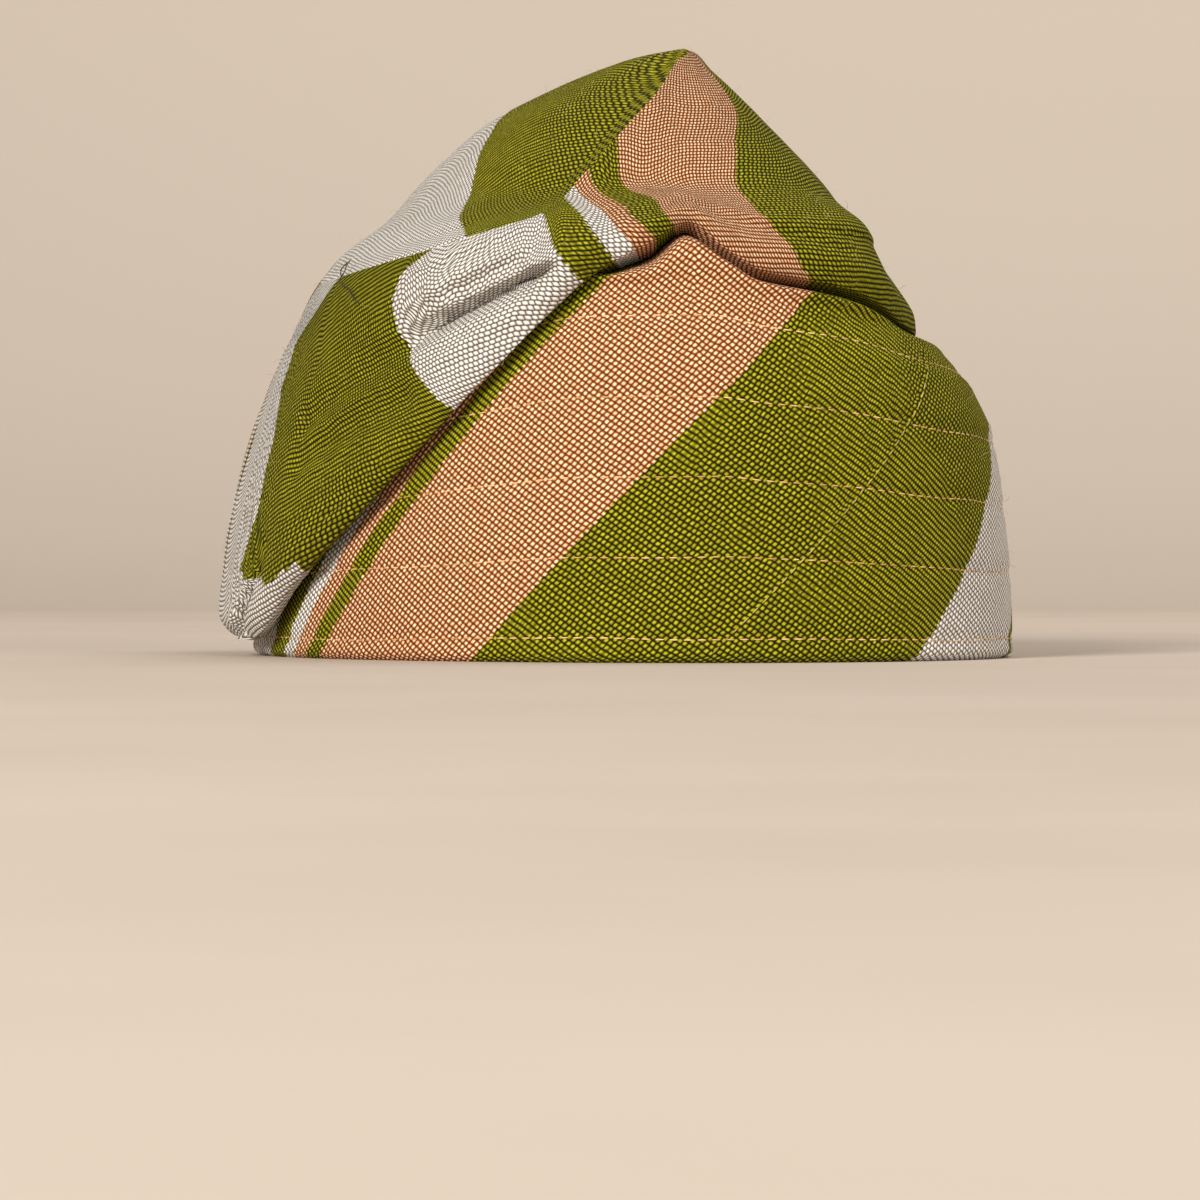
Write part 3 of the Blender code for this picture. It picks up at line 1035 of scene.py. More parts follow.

        # Painted shade in the low gaps between the beads, then a painted highlight on their raised
        # tops, both read off the bump's height
        cloth = kit.mix(kit.rise(height, *self.gap_shade_range), parts["gap"], parts["ground"])
        highlight = kit.rise(height, *self.highlight_range) * (evenness + (1.0 - evenness) * chance)
        cloth = kit.mix(highlight, cloth, parts["bead_highlight"])
        tone = kit.noise(*self.blotches) * self.blotch_tone
        tone = tone + kit.noise(*self.lint) * self.lint_tone + self.tone
        values = {"Vector": cloth, "Scale": tone}
        shade = kit.node("ShaderNodeVectorMath", {"operation": "SCALE"}, values)
        relief = height + kit.noise(*self.fluff) * self.fluff_height + chance * self.chance_height
        return kit.dress(
            Base_Color=kit.wire(shade),
            Roughness=self.dullest - height * self.sheen_share,
            Normal=kit.bump(relief, self.bead_height),
            Specular_IOR_Level=self.specular,
        )


@dataclass(frozen=True)
class SewingThread:
    """Twisted sewing thread."""

    name: str
    colour: tuple
    dark: tuple
    twist: tuple = (1800.0, 2.0)
    twist_height: float = 0.0001
    twist_strength: float = 0.6
    roughness: float = 0.62
    patches: tuple = (70.0, 2.0)
    patch_range: tuple = (0.35, 0.65)

    def make(self) -> bpy.types.Material:
        """Build the material.

        Returns:
            The thread's material.
        """
        kit = NodeKit(self.name)
        tone = kit.rise(kit.noise(*self.patches), *self.patch_range)
        colour = kit.mix(tone, (*self.dark, 1.0), (*self.colour, 1.0))
        bump = kit.bump(kit.noise(*self.twist), self.twist_height, self.twist_strength)
        return kit.dress(Base_Color=colour, Roughness=self.roughness, Normal=bump)


def cloth_grid(
    name: str,
    columns: Sequence[float],
    sections: Sequence[Sequence[Vector]],
    maps: dict,
    panel: Optional[Callable[[int, int], float]] = None,
) -> bpy.types.Mesh:
    """A closed ring of cloth from a grid whose vertices are moved onto the cap's sections.

    Args:
        columns: The angle of each section; the last repeats the first.
        sections: The points of each section, all of one length.
        maps: The name of each map, and its millimetres across and along by a vertex's column and
            row and those of the face's first corner.
        panel: How far past the panels' seam each vertex is, by column and row.

    Returns:
        The mesh, smooth and with its doubles merged.
    """
    rows = len(sections[0])
    shape = bmesh.new()
    share = shape.verts.layers.float.new("panel") if panel else None
    layers = {layer: shape.loops.layers.uv.new(layer) for layer in maps}
    bmesh.ops.create_grid(
        shape, x_segments=len(columns) - 1, y_segments=rows - 1, size=1.0, calc_uvs=False
    )
    if len(shape.verts) != len(columns) * rows:
        raise ValueError(f"{name}: the grid has {len(shape.verts)} vertices")
    spots = {}
    for vert in shape.verts:
        column = round((vert.co.x + 1.0) / 2.0 * (len(columns) - 1))
        row = round((vert.co.y + 1.0) / 2.0 * (rows - 1))
        spots[vert] = (column, row)
    for face in shape.faces:
        corner = min(spots[vert] for vert in face.verts)
        for layer, at in maps.items():
            for loop in face.loops:
                loop[layers[layer]].uv = at(spots[loop.vert], corner)
    for vert, (column, row) in spots.items():
        vert.co = sections[column][row]
        if panel is not None:
            vert[share] = panel(column, row)
    bmesh.ops.remove_doubles(shape, verts=shape.verts, dist=MERGE_DISTANCE)
    bmesh.ops.recalc_face_normals(shape, faces=shape.faces)
    return finished_mesh(name, shape)


def section_length(section: Sequence[Vector]) -> list:
    """The way along a section to each of its points.

    Args:
        section: The points.

    Returns:
        The way to each, from 0.
    """
    lengths = [0.0]
    for point, following in zip(section, section[1:]):
        lengths.append(lengths[-1] + (following - point).length)
    return lengths


def finished_mesh(name: str, shape: bmesh.types.BMesh, smooth: bool = True) -> bpy.types.Mesh:
    """Turn a bmesh into a mesh and free it.

    Args:
        name: The mesh's name.
        shape: The bmesh.
        smooth: Whether its faces are shaded smooth.

    Returns:
        The mesh.
    """
    mesh = bpy.data.meshes.new(name)
    shape.to_mesh(mesh)
    shape.free()
    if smooth:
        mesh.shade_smooth()
    return mesh


def tube_mesh(
    name: str, line: Sequence[Sequence[float]], thick: float, roundness: int
) -> bpy.types.Mesh:
    """A thin tube with closed ends along a line.

    Args:
        name: The mesh's name.
        line: The points that it runs through.
        thick: Its thickness.
        roundness: The curve's bevel resolution.

    Returns:
        The tube's mesh.
    """
    curve = bpy.data.curves.new(name, "CURVE")
    curve.dimensions = "3D"
    curve.bevel_depth = thick / 2.0
    curve.bevel_resolution = roundness
    curve.use_fill_caps = True
    spline = curve.splines.new("POLY")
    spline.points.add(len(line) - 1)
    for point, spot in zip(spline.points, line):
        point.co = (*spot, 1.0)
    guide = bpy.data.objects.new(name + "_guide", curve)
    mesh = bpy.data.meshes.new_from_object(guide)
    mesh.name = name
    bpy.data.objects.remove(guide)
    return mesh


def add_piece(
    name: str, mesh: bpy.types.Mesh, material: bpy.types.Material, slot: Optional[str] = None
) -> bpy.types.Object:
    """Put a mesh in the scene.

    Args:
        name: The piece's name.
        mesh: Its mesh.
        material: Its finish.
        slot: Given for a piece of the cap, which is then hung under the root body; its value isn't
            kept.

    Returns:
        The piece's object.
    """
    piece = bpy.data.objects.new(name, mesh)
    mesh.materials.append(material)
    bpy.context.scene.collection.objects.link(piece)
    if slot:
        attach(piece, "root")
    return piece


@dataclass
class QuiltedBand:
    """The stiff band with its rows of stitches, and the roll of its cloth over the top edge."""

    form: CapForm
    shift: Vector
    columns: int = 480
    face_rows: int = 60
    roll_steps: tuple = (2, 6, 5, 1)
    wall: float = 0.003
    roll_wall: float = 0.0012
    stitch_rows: tuple = (0.065, 0.284, 0.503, 0.72, 0.94)
    groove: float = 0.00040
    groove_width: float = 0.0022
    pucker: float = 0.00030
    rim_round: float = 0.0016
    strip_width: float = 0.1585
    strip_start: float = 0.0140
    seam_lift: float = 0.00045
    seam_spread: float = 0.0024
    stitch_length: float = 0.0019
    stitch_gap: float = 0.0010
    stitch_thick: float = 0.00036
    stitch_lift: float = 0.15
    stitch_sides: int = 6
    wander: float = 0.0005
    wander_scales: tuple = (40.0, 9.0)
    wander_level: float = 7.0
    pick_slant: float = 34.0
    pucker_scales: tuple = (330.0, 20.0)
    waviness: float = 0.00025
    wave_scale: float = 60.0
    wave_level: float = 3.0
    seam_dip: float = 0.00054
    seam_groove: float = 0.0009
    seam_strips: tuple = (-2, -1, 0, 1, 2)
    seam_low: float = 0.002
    seam_high: float = 0.062
    seam_slope: float = 0.7
    seam_aside: float = 0.0013
    inner_stride: int = 3
    thin_rows: int = 4

    def quilting(self, angle: float, height: float) -> float:
        """How far the quilting lifts the face at an angle and height.

        Args:
            angle: Degrees from the front.
            height: The height above the floor.

        Returns:
            The lift, outwards.
        """
        top = self.form.band_top(angle)
        arc = self.form.rim_arc(angle)
        along, up = self.pucker_scales
        lift = 0.0
        for share in self.stitch_rows:
            distance = abs(height - top * share)
            lift -= self.groove * fade(distance / self.groove_width)
            wave = noise.noise(Vector((arc * along, share * up, 0.0)))
            lift += self.pucker * wave * fade(distance / (3.0 * self.groove_width))
        spot = Vector((arc * self.wave_scale, height * self.wave_scale, self.wave_level))
        lift += self.waviness * noise.noise(spot)
        across = (arc - height - self.strip_start) / self.strip_width
        aside = (across - round(across)) * self.strip_width
        if aside > 0.0:
            lift += self.seam_lift * fade(aside / self.seam_spread)
        return lift - self.seam_dip * fade(abs(aside) / self.seam_groove)

    def rim_inset(self, height: float) -> float:
        """How far the rolled rim draws the face in near the floor."""
        low = max(self.rim_round - height, 0.0)
        return self.rim_round - math.sqrt(self.rim_round ** 2 - low ** 2)

    def face_spot(self, angle: float, height: float) -> Vector:
        """The radius and height of the quilted face at an angle and height."""
        radius = self.form.band_radius(angle, height) + self.quilting(angle, height)
        return Vector((radius - self.rim_inset(height), height))

    def outer_profile(self, angle: float) -> list:
        """Radius and height of the outer face, rim to the crease behind the roll.

        Args:
            angle: Degrees from the front.

        Returns:
            The points.
        """
        top = self.form.band_top(angle)
        face = [self.face_spot(angle, top * row / self.face_rows) for row in range(self.face_rows)]
        seat = self.form.seat_points(angle)
        fold = self.form.fold_points(angle)
        roll = smooth_curve([seat[0], seat[1], *fold[:3]], self.roll_steps)
        return face + roll[:-1]

    def section(self, angle: float) -> list:
        """The band's closed section at an angle, outer face up and inner face down.

        Args:
            angle: Degrees from the front.

        Returns:
            The points, the last of which repeats the first.
        """
        outer = self.outer_profile(angle)
        inner = []
        for i in range(len(outer) - 1, -1, -self.inner_stride):
            before = outer[max(i - 1, 0)]
            after = outer[min(i + 1, len(outer) - 1)]
            run = (after - before).normalized()
            inward = Vector((-run.y, run.x))
            wall = self.wall if i < self.face_rows - self.thin_rows else self.roll_wall
            inner.append(outer[i] + inward * wall)
        inner.append(Vector((outer[0].x - self.wall, 0.0)))
        ring = outer + inner + [outer[0]]
        return [self.form.place(angle, point) + self.shift for point in ring]

    def build(self, material: bpy.types.Material) -> bpy.types.Object:
        """Build the band.

        Args:
            material: The striped cloth.

        Returns:
            The band's object.
        """
        angles = [-180.0 + 360.0 * i / self.columns for i in range(self.columns + 1)]
        sections = [self.section(angle) for angle in angles]
        lengths = [section_length(section) for section in sections]
        arcs = [self.form.rim_arc(angle) for angle in angles]

        def stripes(spot: tuple, _corner: tuple) -> tuple:
            """Millimetres across and along the stripes, which run up the band at 45 degrees.

            Args:
                spot: The vertex's column and row.
                _corner: The face's first corner, which isn't used.

            Returns:
                Millimetres across and along.
            """
            column, row = spot
            across = (arcs[column] - lengths[column][row]) / MM * math.sqrt(0.5)
            slant = math.radians(self.pick_slant)
            along = (arcs[column] * math.sin(slant) + lengths[column][row] * math.cos(slant)) / MM
            return across, along

        mesh = cloth_grid("band_cloth", angles, sections, {"front": stripes})
        piece = add_piece("band_cloth", mesh, material, "rust_striped_cloth")
        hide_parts("band")
        return piece

    def on_face(self, arc: float, height: float) -> Vector:
        """The place on the band's outer face at a way round the rim and a height."""
        angle = self.form.rim_angle(arc)
        return self.form.place(angle, self.face_spot(angle, height)) + self.shift

    def stitches(
        self, name: str, spots: Sequence[Vector], material: bpy.types.Material
    ) -> bpy.types.Object:
        """Sew one piece's stitches, each a small capsule of thread, between pairs of spots.

        Args:
            name: The piece's name.
            spots: The ends of the stitches, two for each.
            material: The thread.

        Returns:
            The stitches' object.
        """
        shape = bmesh.new()
        bmesh.ops.create_uvsphere(
            shape, u_segments=self.stitch_sides, v_segments=self.stitch_sides, radius=0.5,
            matrix=Matrix.Rotation(math.radians(90.0), 4, "Y"),
        )
        stitch = bpy.data.meshes.new("stitch")
        shape.to_mesh(stitch)
        shape.clear()
        for start, end in zip(spots[::2], spots[1::2]):
            run = end - start
            middle = (start + end) / 2.0
            outward = Vector((middle.x - self.shift.x, middle.y, 0.0)).normalized()
            side = run.cross(outward).normalized()
            outward = side.cross(run).normalized()
            turn = Matrix((run.normalized(), side, outward)).transposed().to_4x4()
            size = Matrix.Diagonal((run.length, self.stitch_thick, self.stitch_thick, 1.0))
            centre = Matrix.Translation(middle + outward * self.stitch_thick * self.stitch_lift)
            sewn = stitch.copy()
            sewn.transform(centre @ turn @ size)
            shape.from_mesh(sewn)
            bpy.data.meshes.remove(sewn)
        bpy.data.meshes.remove(stitch)
        bmesh.ops.recalc_face_normals(shape, faces=shape.faces)
        return add_piece(name, finished_mesh(name, shape), material, "rust_striped_cloth")

    def quilt(self, thread: bpy.types.Material) -> bpy.types.Object:
        """Sew the rows of quilting round the band.

        Args:
            thread: The gold thread.

        Returns:
            The stitches' object.
        """
        back, end = self.form.rim_arc(-180.0), self.form.rim_arc(180.0)
        pitch = self.stitch_length + self.stitch_gap
        count = round((end - back) / pitch)
        along, up = self.wander_scales
        rows = []
        for share in self.stitch_rows:
            for i in range(count):
                start = back + (end - back) / count * i
                for arc in (start, start + self.stitch_length):
                    top = self.form.band_top(self.form.rim_angle(arc))
                    spot = Vector((arc * along, share * up, self.wander_level))
                    height = top * share + self.wander * noise.noise(spot)
                    rows.append(self.on_face(arc, height))
        return self.stitches("quilting_stitches", rows, thread)

    def sew(self, thread: bpy.types.Material) -> bpy.types.Object:
        """Sew the seams where the band's strips join.

        Args:
            thread: The seams' duller thread.

        Returns:
            The stitches' object.
        """
        pitch = self.stitch_length + self.stitch_gap
        seams = []
        for strip in self.seam_strips:
            height = self.seam_low
            while height < self.seam_high:
                arc = self.strip_start + strip * self.strip_width + height
                if self.form.rim_arc(-180.0) < arc < self.form.rim_arc(180.0):
                    for rise in (0.0, self.stitch_length * self.seam_slope):
                        seams.append(self.on_face(arc + rise + self.seam_aside, height + rise))
                height += pitch * self.seam_slope
        return self.stitches("seam_stitches", seams, thread)


@dataclass
class FoldedCrown:
    """The soft crown, from the crease behind the band's roll to the peak."""

    form: CapForm
    shift: Vector
    wall: float = 0.0014
    steps: tuple = (1, 2, 2, 2, 2, 2, 2, 7, 20, 20, 14, 11, 12, 7, 6, 5, 4)
    stretches: tuple = ((-180.0, -105.0, 50), (-105.0, 8.0, 230), (8.0, 180.0, 90))
    folded_points: int = 7
    undulations: tuple = ((0.0006, 45.0), (0.00024, 130.0))
    back_turn: float = 85.0
    back_start: float = -150.0
    seam_end: float = 10.0
    hidden_panel: float = -5.0
    outer_panel: float = -1.0
    left_turn: float = 40.0
    back_opening: float = 0.8
    back_normal: tuple = (0.131, 0.991)
    back_place: float = 46.9
    left_slant: float = 0.88
    rib_tilt: tuple = ((-180.0, 32.0), (-110.0, 32.0), (-40.0, 0.0), (180.0, 0.0))

    def angles(self) -> list:
        """The angle of each column of faces, all the way round.

        Returns:
            The angles, in degrees.
        """
        found = []
        for start, end, count in self.stretches:
            found += [start + (end - start) * i / count for i in range(count)]
        return found + [self.stretches[-1][1]]

    def section(self, angle: float) -> list:
        """The crown's outer face at an angle, crease to peak.

        Args:
            angle: Degrees from the front.

        Returns:
            The points.
        """
        fold = self.form.fold_points(angle)
        fold += [self.form.face_point(angle, fold[-1]), self.form.shoulder_point(angle)]
        points = [self.form.place(angle, point) for point in fold]
        for level in DOME:
            spot = self.form.dome_point(angle, level)
            points.append(self.form.place(angle, spot, level["forward"], level["side"]))
        section = smooth_curve(points, self.steps)[1:]
        outward = self.form.place(angle, Vector((1.0, 0.0)))
        for row, point in enumerate(section[:-1]):
            if row > self.folded_rows():
                lift = self.form.step_out(angle, point.z) - self.form.pleat_in(angle, point.z)
                lift += self.form.tuck_out(angle, point.z)
                for size, scale in self.undulations:
                    lift += size * noise.noise(point * scale)
                point += outward * lift
        return [point + self.shift for point in section]

    def folded_rows(self) -> int:
        """How many rows lie hidden in the fold."""
        return sum(self.steps[1:self.folded_points])

    @staticmethod
    def ways_round(sections: Sequence[Sequence[Vector]]) -> list:
        """The way round the crown to each column, for each row.

        Args:
            sections: The crown's sections.

        Returns:
            One list of ways for each row.
        """
        ways = []
        for row in range(len(sections[0])):
            way = [0.0]
            for section, following in zip(sections, sections[1:]):
                way.append(way[-1] + (following[row] - section[row]).length)
            ways.append(way)
        return ways

    def build(self, material: bpy.types.Material) -> bpy.types.Object:
        """Build the crown.

        Args:
            material: The striped cloth.

        Returns:
            The crown's object.
        """
        angles = self.angles()
        sections = [self.section(angle) for angle in angles]
        lengths = [section_length(section) for section in sections]
        hem = self.folded_rows()
        tilts = [
            between(angle, [t[0] for t in self.rib_tilt], [t[1] for t in self.rib_tilt])
            + (section[hem].z - length[hem]) / MM
            for angle, section, length in zip(angles, sections, lengths)
        ]
        normal = Vector(self.back_normal)
        ribs = Vector((-normal.y, normal.x))
        ways = self.ways_round(sections)
        edge_line = next(line[1] for line in STRIPE_LINES if line[0] == 0.0)

        def share_at(spot: tuple) -> float:
            """A vertex's height above the band, as a share of the crown's rise."""
            return (sections[spot[0]][spot[1]].z - self.form.band_height) / self.form.crown_rise

        def front(spot: tuple, corner: tuple) -> tuple:
            """Millimetres across and along the front panel's stripes.

            Args:
                spot: The vertex's column and row.
                corner: The column and row of its face's first corner.

            Returns:
                Millimetres across and along.
            """
            column, row = spot
            angle = angles[column]
            edge = between(share_at(spot), STRIPE_HEIGHTS, edge_line)
            if share_at(corner) < between(angles[corner[0]], END_ANGLES, END_HEIGHTS):
                way = ways[row][column] - between(END_MIDDLE, angles, ways[row])
                across = way * END_SHARE / MM + END_PLACE
            elif angle > edge:
                way = ways[row][column] - between(edge, angles, ways[row])
                across = way * self.left_slant / MM
            else:
                turns = [between(share_at(spot), STRIPE_HEIGHTS, line[1]) for line in STRIPE_LINES]
                across = between(angle, turns, [line[0] for line in STRIPE_LINES])
            return across, lengths[column][row] / MM + tilts[column]

        def back(spot: tuple, _corner: tuple) -> tuple:
            """Millimetres across and along the back panel's stripes, as on an opened cone.

            Args:
                spot: The vertex's column and row.
                _corner: The face's first corner, which isn't used.

            Returns:
                Millimetres across and along.
            """
            column, row = spot
            angle = angles[column]
            turn = math.radians(angle - 360.0 if angle > self.left_turn else angle)
            reach = (lengths[column][-1] - lengths[column][row]) / MM
            turn *= self.back_opening
            flat = Vector((math.cos(turn), math.sin(turn))) * reach
            return normal.dot(flat) + self.back_place, ribs.dot(flat)

        def panel(column: int, row: int) -> float:
            """How far past the seam into the back panel, in millimetres.

            Args:
                column: The vertex's column.
                row: The vertex's row.

            Returns:
                More than 0 on the back panel.
            """
            point = sections[column][row]
            reach = math.hypot(point.x, point.y) / MM
            angle = angles[column]
            above = (point.z - self.form.seam_height(angle)) / MM
            if row <= hem:
                above = self.hidden_panel
            if angle > self.seam_end or angle < self.back_start:
                above = min(above, self.outer_panel)
            turned = math.radians(self.back_start - angle) * reach
            beyond = math.radians(angle - self.back_turn) * reach
            return max(above, turned, beyond)

        mesh = cloth_grid("crown_cloth", angles, sections, {"front": front, "back": back}, panel)
        piece = add_piece("crown_cloth", mesh, material, "olive_striped_cloth")
        solidify = piece.modifiers.new("wall", "SOLIDIFY")
        solidify.thickness = self.wall
        solidify.offset = -1.0
        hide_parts("crown")
        return piece


@dataclass
class LooseThread:
    """The end of a dark thread that sticks out of the crown's top seam in a small loop."""

    form: CapForm
    thick: float = 0.00028
    outward_lift: float = 0.6
    curve_steps: int = 4
    spots: tuple = (
        (-81.5, 0.0, -0.4), (-82.2, 0.9, 1.0), (-80.8, 1.4, 2.2), (-78.6, 1.4, 2.0),
        (-78.2, 1.0, 0.6), (-79.2, 0.8, -0.8), (-77.4, 0.7, -2.2), (-74.6, 0.6, -3.6),
        (-72.2, 0.4, -5.4), (-70.6, 0.1, -7.2),
    )

    def build(self, crown: "FoldedCrown", material: bpy.types.Material) -> bpy.types.Object:
        """Build the thread.

        Args:
            crown: The crown that it sticks out of.
            material: The thread's finish.

        Returns:
            The thread's object.
        """
        points = []
        start = self.form.seam_height(self.spots[0][0])
        for angle, out, rise in self.spots:
            height = start + rise * MM
            section = crown.section(angle)[crown.folded_rows() + 1:]
            near = min(section, key=lambda point: abs(point.z - height))
            outward = self.form.place(angle, Vector((1.0, self.outward_lift)))
            points.append(near + outward * out * MM)
        line = smooth_curve(points, [self.curve_steps] * (len(points) - 1))
        mesh = tube_mesh("loose_thread", line, self.thick, 1)
        return add_piece("loose_thread", mesh, material, "olive_striped_cloth")


@dataclass
class LooseFibres:
    """Short cotton fibres that stand out of the cloth all over its outer side."""

    count: int = 700
    seed: int = 31
    thick: float = 0.00005
    bends: tuple = (
        (0.0, 0.0, -0.0002), (0.00008, 0.0, 0.0004), (0.0003, 0.0001, 0.0009),
        (0.0007, 0.0001, 0.0013), (0.0012, -0.0001, 0.0014),
    )
    sizes: tuple = (0.5, 1.25)
    lean: float = 0.45
    lowest: float = 0.006
    facing: float = 0.25

    def build(
        self, cloths: Sequence[bpy.types.Object], material: bpy.types.Material
    ) -> bpy.types.Object:
        """Spread the fibres over the cloths.

        Args:
            cloths: The pieces of cloth that the fibres stand on.
            material: The fibres' finish.

        Returns:
            The fibres' object.
        """
        dice = random.Random(self.seed)
        fibre = tube_mesh("fibre", self.bends, self.thick, 0)
        grown = bmesh.new()
        made = 0
        while made < self.count:
            faces = dice.choice(cloths).data.polygons
            face = faces[dice.randrange(len(faces))]
            outward = Vector((face.center.x, face.center.y, 0.0)).normalized()
            if face.center.z < self.lowest or face.normal.dot(outward) < self.facing:
                continue
            tilt = Vector([dice.uniform(-self.lean, self.lean) for _ in range(3)])
            turn = (face.normal + tilt).to_track_quat("Z", "Y").to_matrix().to_4x4()
            spin = Matrix.Rotation(dice.uniform(0.0, 2.0 * math.pi), 4, "Z")
            size = Matrix.Scale(dice.uniform(*self.sizes), 4)
            piece = fibre.copy()
            piece.transform(Matrix.Translation(face.center) @ turn @ spin @ size)
            grown.from_mesh(piece)
            bpy.data.meshes.remove(piece)
            made += 1
        mesh = finished_mesh("loose_fibres", grown, smooth=False)
        return add_piece("loose_fibres", mesh, material, "olive_striped_cloth")


@dataclass(frozen=True)
class Lamp:
    """One soft square lamp: its place in the camera's own directions (right, towards it, up), the
    point that it faces, the side of its square, its power in watts and its colour."""

    name: str
    place: tuple
    aim: tuple
    size: float
    power: float
    tint: tuple


@dataclass(frozen=True)
class Studio:
    """The floor, the backdrop, the lights and the camera."""

    azimuth: float = -25.0
    distance: float = 1.150
    eye_height: float = 0.020
    sensor_width: float = 36.0
    focal_pixels: float = 5175.0
    image_pixels: float = 1200.0
    axis_pixel: float = 628.0
    rim_pixel: float = 655.0
    floor_half: float = 4.0
    floor_front: float = -1.8
    floor_run: float = 4.8
    floor_cuts: int = 48
    bend_start: float = 1.2
    bend: float = 0.6
    wall_range: tuple = (0.9, 1.4)
    floor_patches: tuple = (9.0, 4.0)
    floor_roughness: float = 0.85
    floor_dark: tuple = (0.49, 0.405, 0.335, 1.0)
    floor_pale: tuple = (0.58, 0.50, 0.425, 1.0)
    wall_colour: tuple = (0.49, 0.425, 0.36, 1.0)
    sky_colour: tuple = (1.0, 0.96, 0.90, 1.0)
    sky_strength: float = 0.34
    lamps: tuple = (
        Lamp("key", (-1.3, 2.6, 1.3), (0.0, 0.0, 0.07), 0.9, 118.0, (1.0, 0.96, 0.90)),
        Lamp("fill", (2.3, 2.3, 0.8), (0.0, 0.0, 0.07), 1.8, 34.0, (1.0, 0.97, 0.93)),
        Lamp("back", (0.6, -0.5, 1.6), (0.3, 1.8, 0.3), 1.2, 16.0, (1.0, 0.97, 0.92)),
    )

    def seen_from(self, right: float, towards: float, up: float) -> Vector:
        """A vector that is given in the camera's own directions: right, towards it, up.

        Args:
            right: Metres to the right.
            towards: Metres towards the camera.
            up: Metres up.

        Returns:
            The vector.
        """
        turn = math.radians(self.azimuth)
        across = Vector((math.cos(turn), math.sin(turn), 0.0))
        away = Vector((math.sin(turn), -math.cos(turn), 0.0))
        return across * right + away * towards + Vector((0.0, 0.0, up))

    def camera(self, axis: Vector) -> None:
        """Place the camera at the photo's angle, level and just above the floor.

        Args:
            axis: The band's upright axis.
        """
        data = bpy.data.cameras.new("camera")
        camera = bpy.data.objects.new("camera", data)
        bpy.context.scene.collection.objects.link(camera)
        camera.location = axis + self.seen_from(0.0, self.distance, self.eye_height)
        camera.rotation_euler = (math.radians(90.0), 0.0, math.radians(self.azimuth))
        data.sensor_width = self.sensor_width
        data.lens = data.sensor_width * self.focal_pixels / self.image_pixels
        centre = self.image_pixels / 2.0
        eye_pixel = self.eye_height * self.focal_pixels / self.distance
        data.shift_x = (centre - self.axis_pixel) / self.image_pixels
        data.shift_y = (self.rim_pixel - (centre + eye_pixel)) / self.image_pixels
        bpy.context.scene.camera = camera

    def backdrop(self) -> None:
        """Make the floor, which curves up behind the cap into the backdrop."""
        shape = bmesh.new()
        bmesh.ops.create_grid(shape, x_segments=1, y_segments=self.floor_cuts, size=1.0)
        bend_end = self.bend_start + self.bend * math.pi / 2.0
        for vert in shape.verts:
            along = (vert.co.y + 1.0) / 2.0 * self.floor_run + self.floor_front
            turn = min(max((along - self.bend_start) / self.bend, 0.0), math.pi / 2.0)
            vert.co = (
                vert.co.x * self.floor_half,
                min(along, self.bend_start) + self.bend * math.sin(turn),
                self.bend * (1.0 - math.cos(turn)) + max(along - bend_end, 0.0),
            )
        turn = math.radians(self.azimuth)
        bmesh.ops.rotate(
            shape, verts=shape.verts, cent=(0, 0, 0), matrix=Matrix.Rotation(turn, 3, "Z")
        )
        bmesh.ops.recalc_face_normals(shape, faces=shape.faces)
        mesh = finished_mesh("floor", shape)
        kit = NodeKit("pale_plaster")
        place = kit.node("ShaderNodeTexCoord")
        parts = kit.node("ShaderNodeSeparateXYZ", None, {"Vector": kit.wire(place, "Object")})
        deep = kit.wire(parts, "Y") * math.cos(turn) - kit.wire(parts, "X") * math.sin(turn)
        floor = kit.mix(kit.noise(*self.floor_patches), self.floor_dark, self.floor_pale)
        colour = kit.mix(kit.rise(deep, *self.wall_range), floor, self.wall_colour)
        material = kit.dress(Base_Color=colour, Roughness=self.floor_roughness)
        add_piece("floor", mesh, material)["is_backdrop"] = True

    def light(self) -> None:
        """Light the set softly, most of it from above and the left."""
        world = bpy.data.worlds.new("studio")
        world.use_nodes = True
        background = world.node_tree.nodes["Background"]
        background.inputs["Color"].default_value = self.sky_colour
        background.inputs["Strength"].default_value = self.sky_strength
        bpy.context.scene.world = world
        for lamp in self.lamps:
            data = bpy.data.lights.new(lamp.name, "AREA")
            data.size = lamp.size
            data.energy = lamp.power
            data.color = lamp.tint
            hung = bpy.data.objects.new(lamp.name, data)
            hung.location = self.seen_from(*lamp.place)
            facing = Vector(lamp.aim) - hung.location
            hung.rotation_euler = facing.to_track_quat("-Z", "Y").to_euler()
            bpy.context.scene.collection.objects.link(hung)


def main() -> None:
    """Build the cap's pieces and the set around them."""
    logging.basicConfig(level=logging.INFO, format="%(name)s %(message)s")
    view = bpy.context.scene.view_settings
    view.view_transform = "Standard"
    form = CapForm()
    shift = Vector((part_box("band")[1].x - form.half_width, 0.0, 0.0))
    rust = StripedCloth("rust_striped_cloth", BAND_STRIPES)
    olive = StripedCloth(
        "olive_striped_cloth", FRONT_STRIPES, BACK_STRIPES, pitch=0.96, pick_pitch=1.08, tone=0.54
    )
    gold = SewingThread("gold_thread", (0.80, 0.50, 0.24), (0.50, 0.26, 0.09))
    dull = SewingThread("seam_thread", (0.46, 0.34, 0.07), (0.22, 0.18, 0.02))
    dark = SewingThread("dark_thread", (0.10, 0.09, 0.03), (0.03, 0.025, 0.01))
    cotton = SewingThread("cotton_fibre", (0.50, 0.44, 0.16), (0.24, 0.21, 0.05))
    band = QuiltedBand(form, shift)
    band_cloth = band.build(rust.make())
    pieces = [band_cloth, band.quilt(gold.make()), band.sew(dull.make())]
    crown = FoldedCrown(form, shift)
    crown_cloth = crown.build(olive.make())
    loose_thread = LooseThread(form).build(crown, dark.make())
    fibres = LooseFibres().build([band_cloth, crown_cloth, crown_cloth], cotton.make())
    for piece in (*pieces, crown_cloth, loose_thread, fibres):
        log.info("%s: %d faces", piece.name, len(piece.data.polygons))
    studio = Studio()
    studio.backdrop()
    studio.light()
    studio.camera(shift)


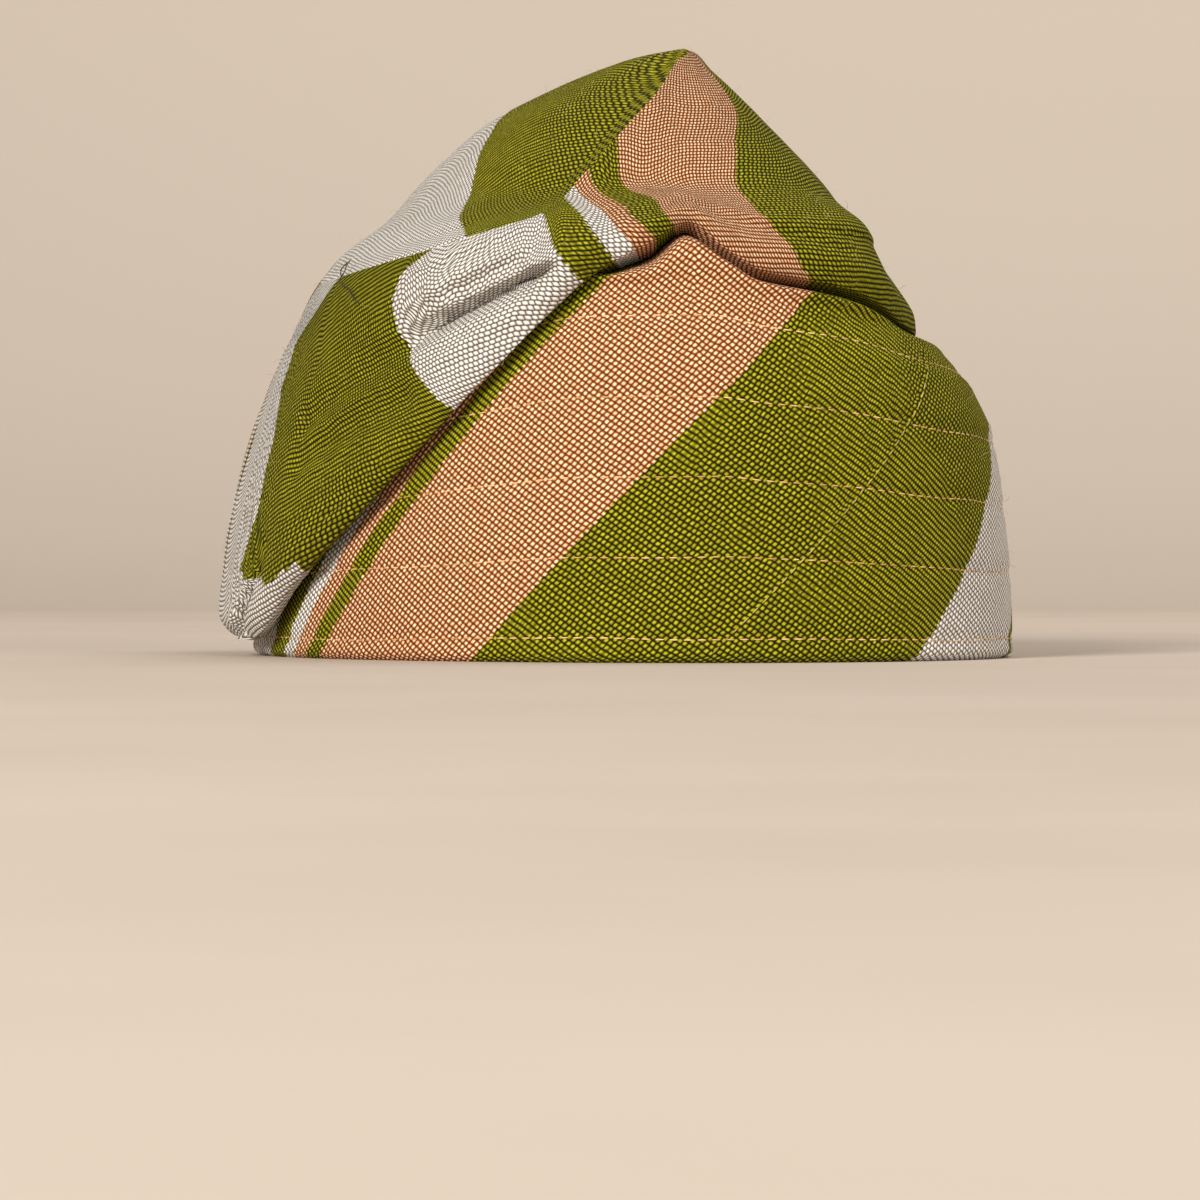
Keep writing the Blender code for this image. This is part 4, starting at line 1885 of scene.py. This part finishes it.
if __name__ == "__main__":
    main()
    boxes = {"cad": CAD_BOX, "visual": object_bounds()}
    {name: [list(corner) for corner in box] for name, box in boxes.items()}
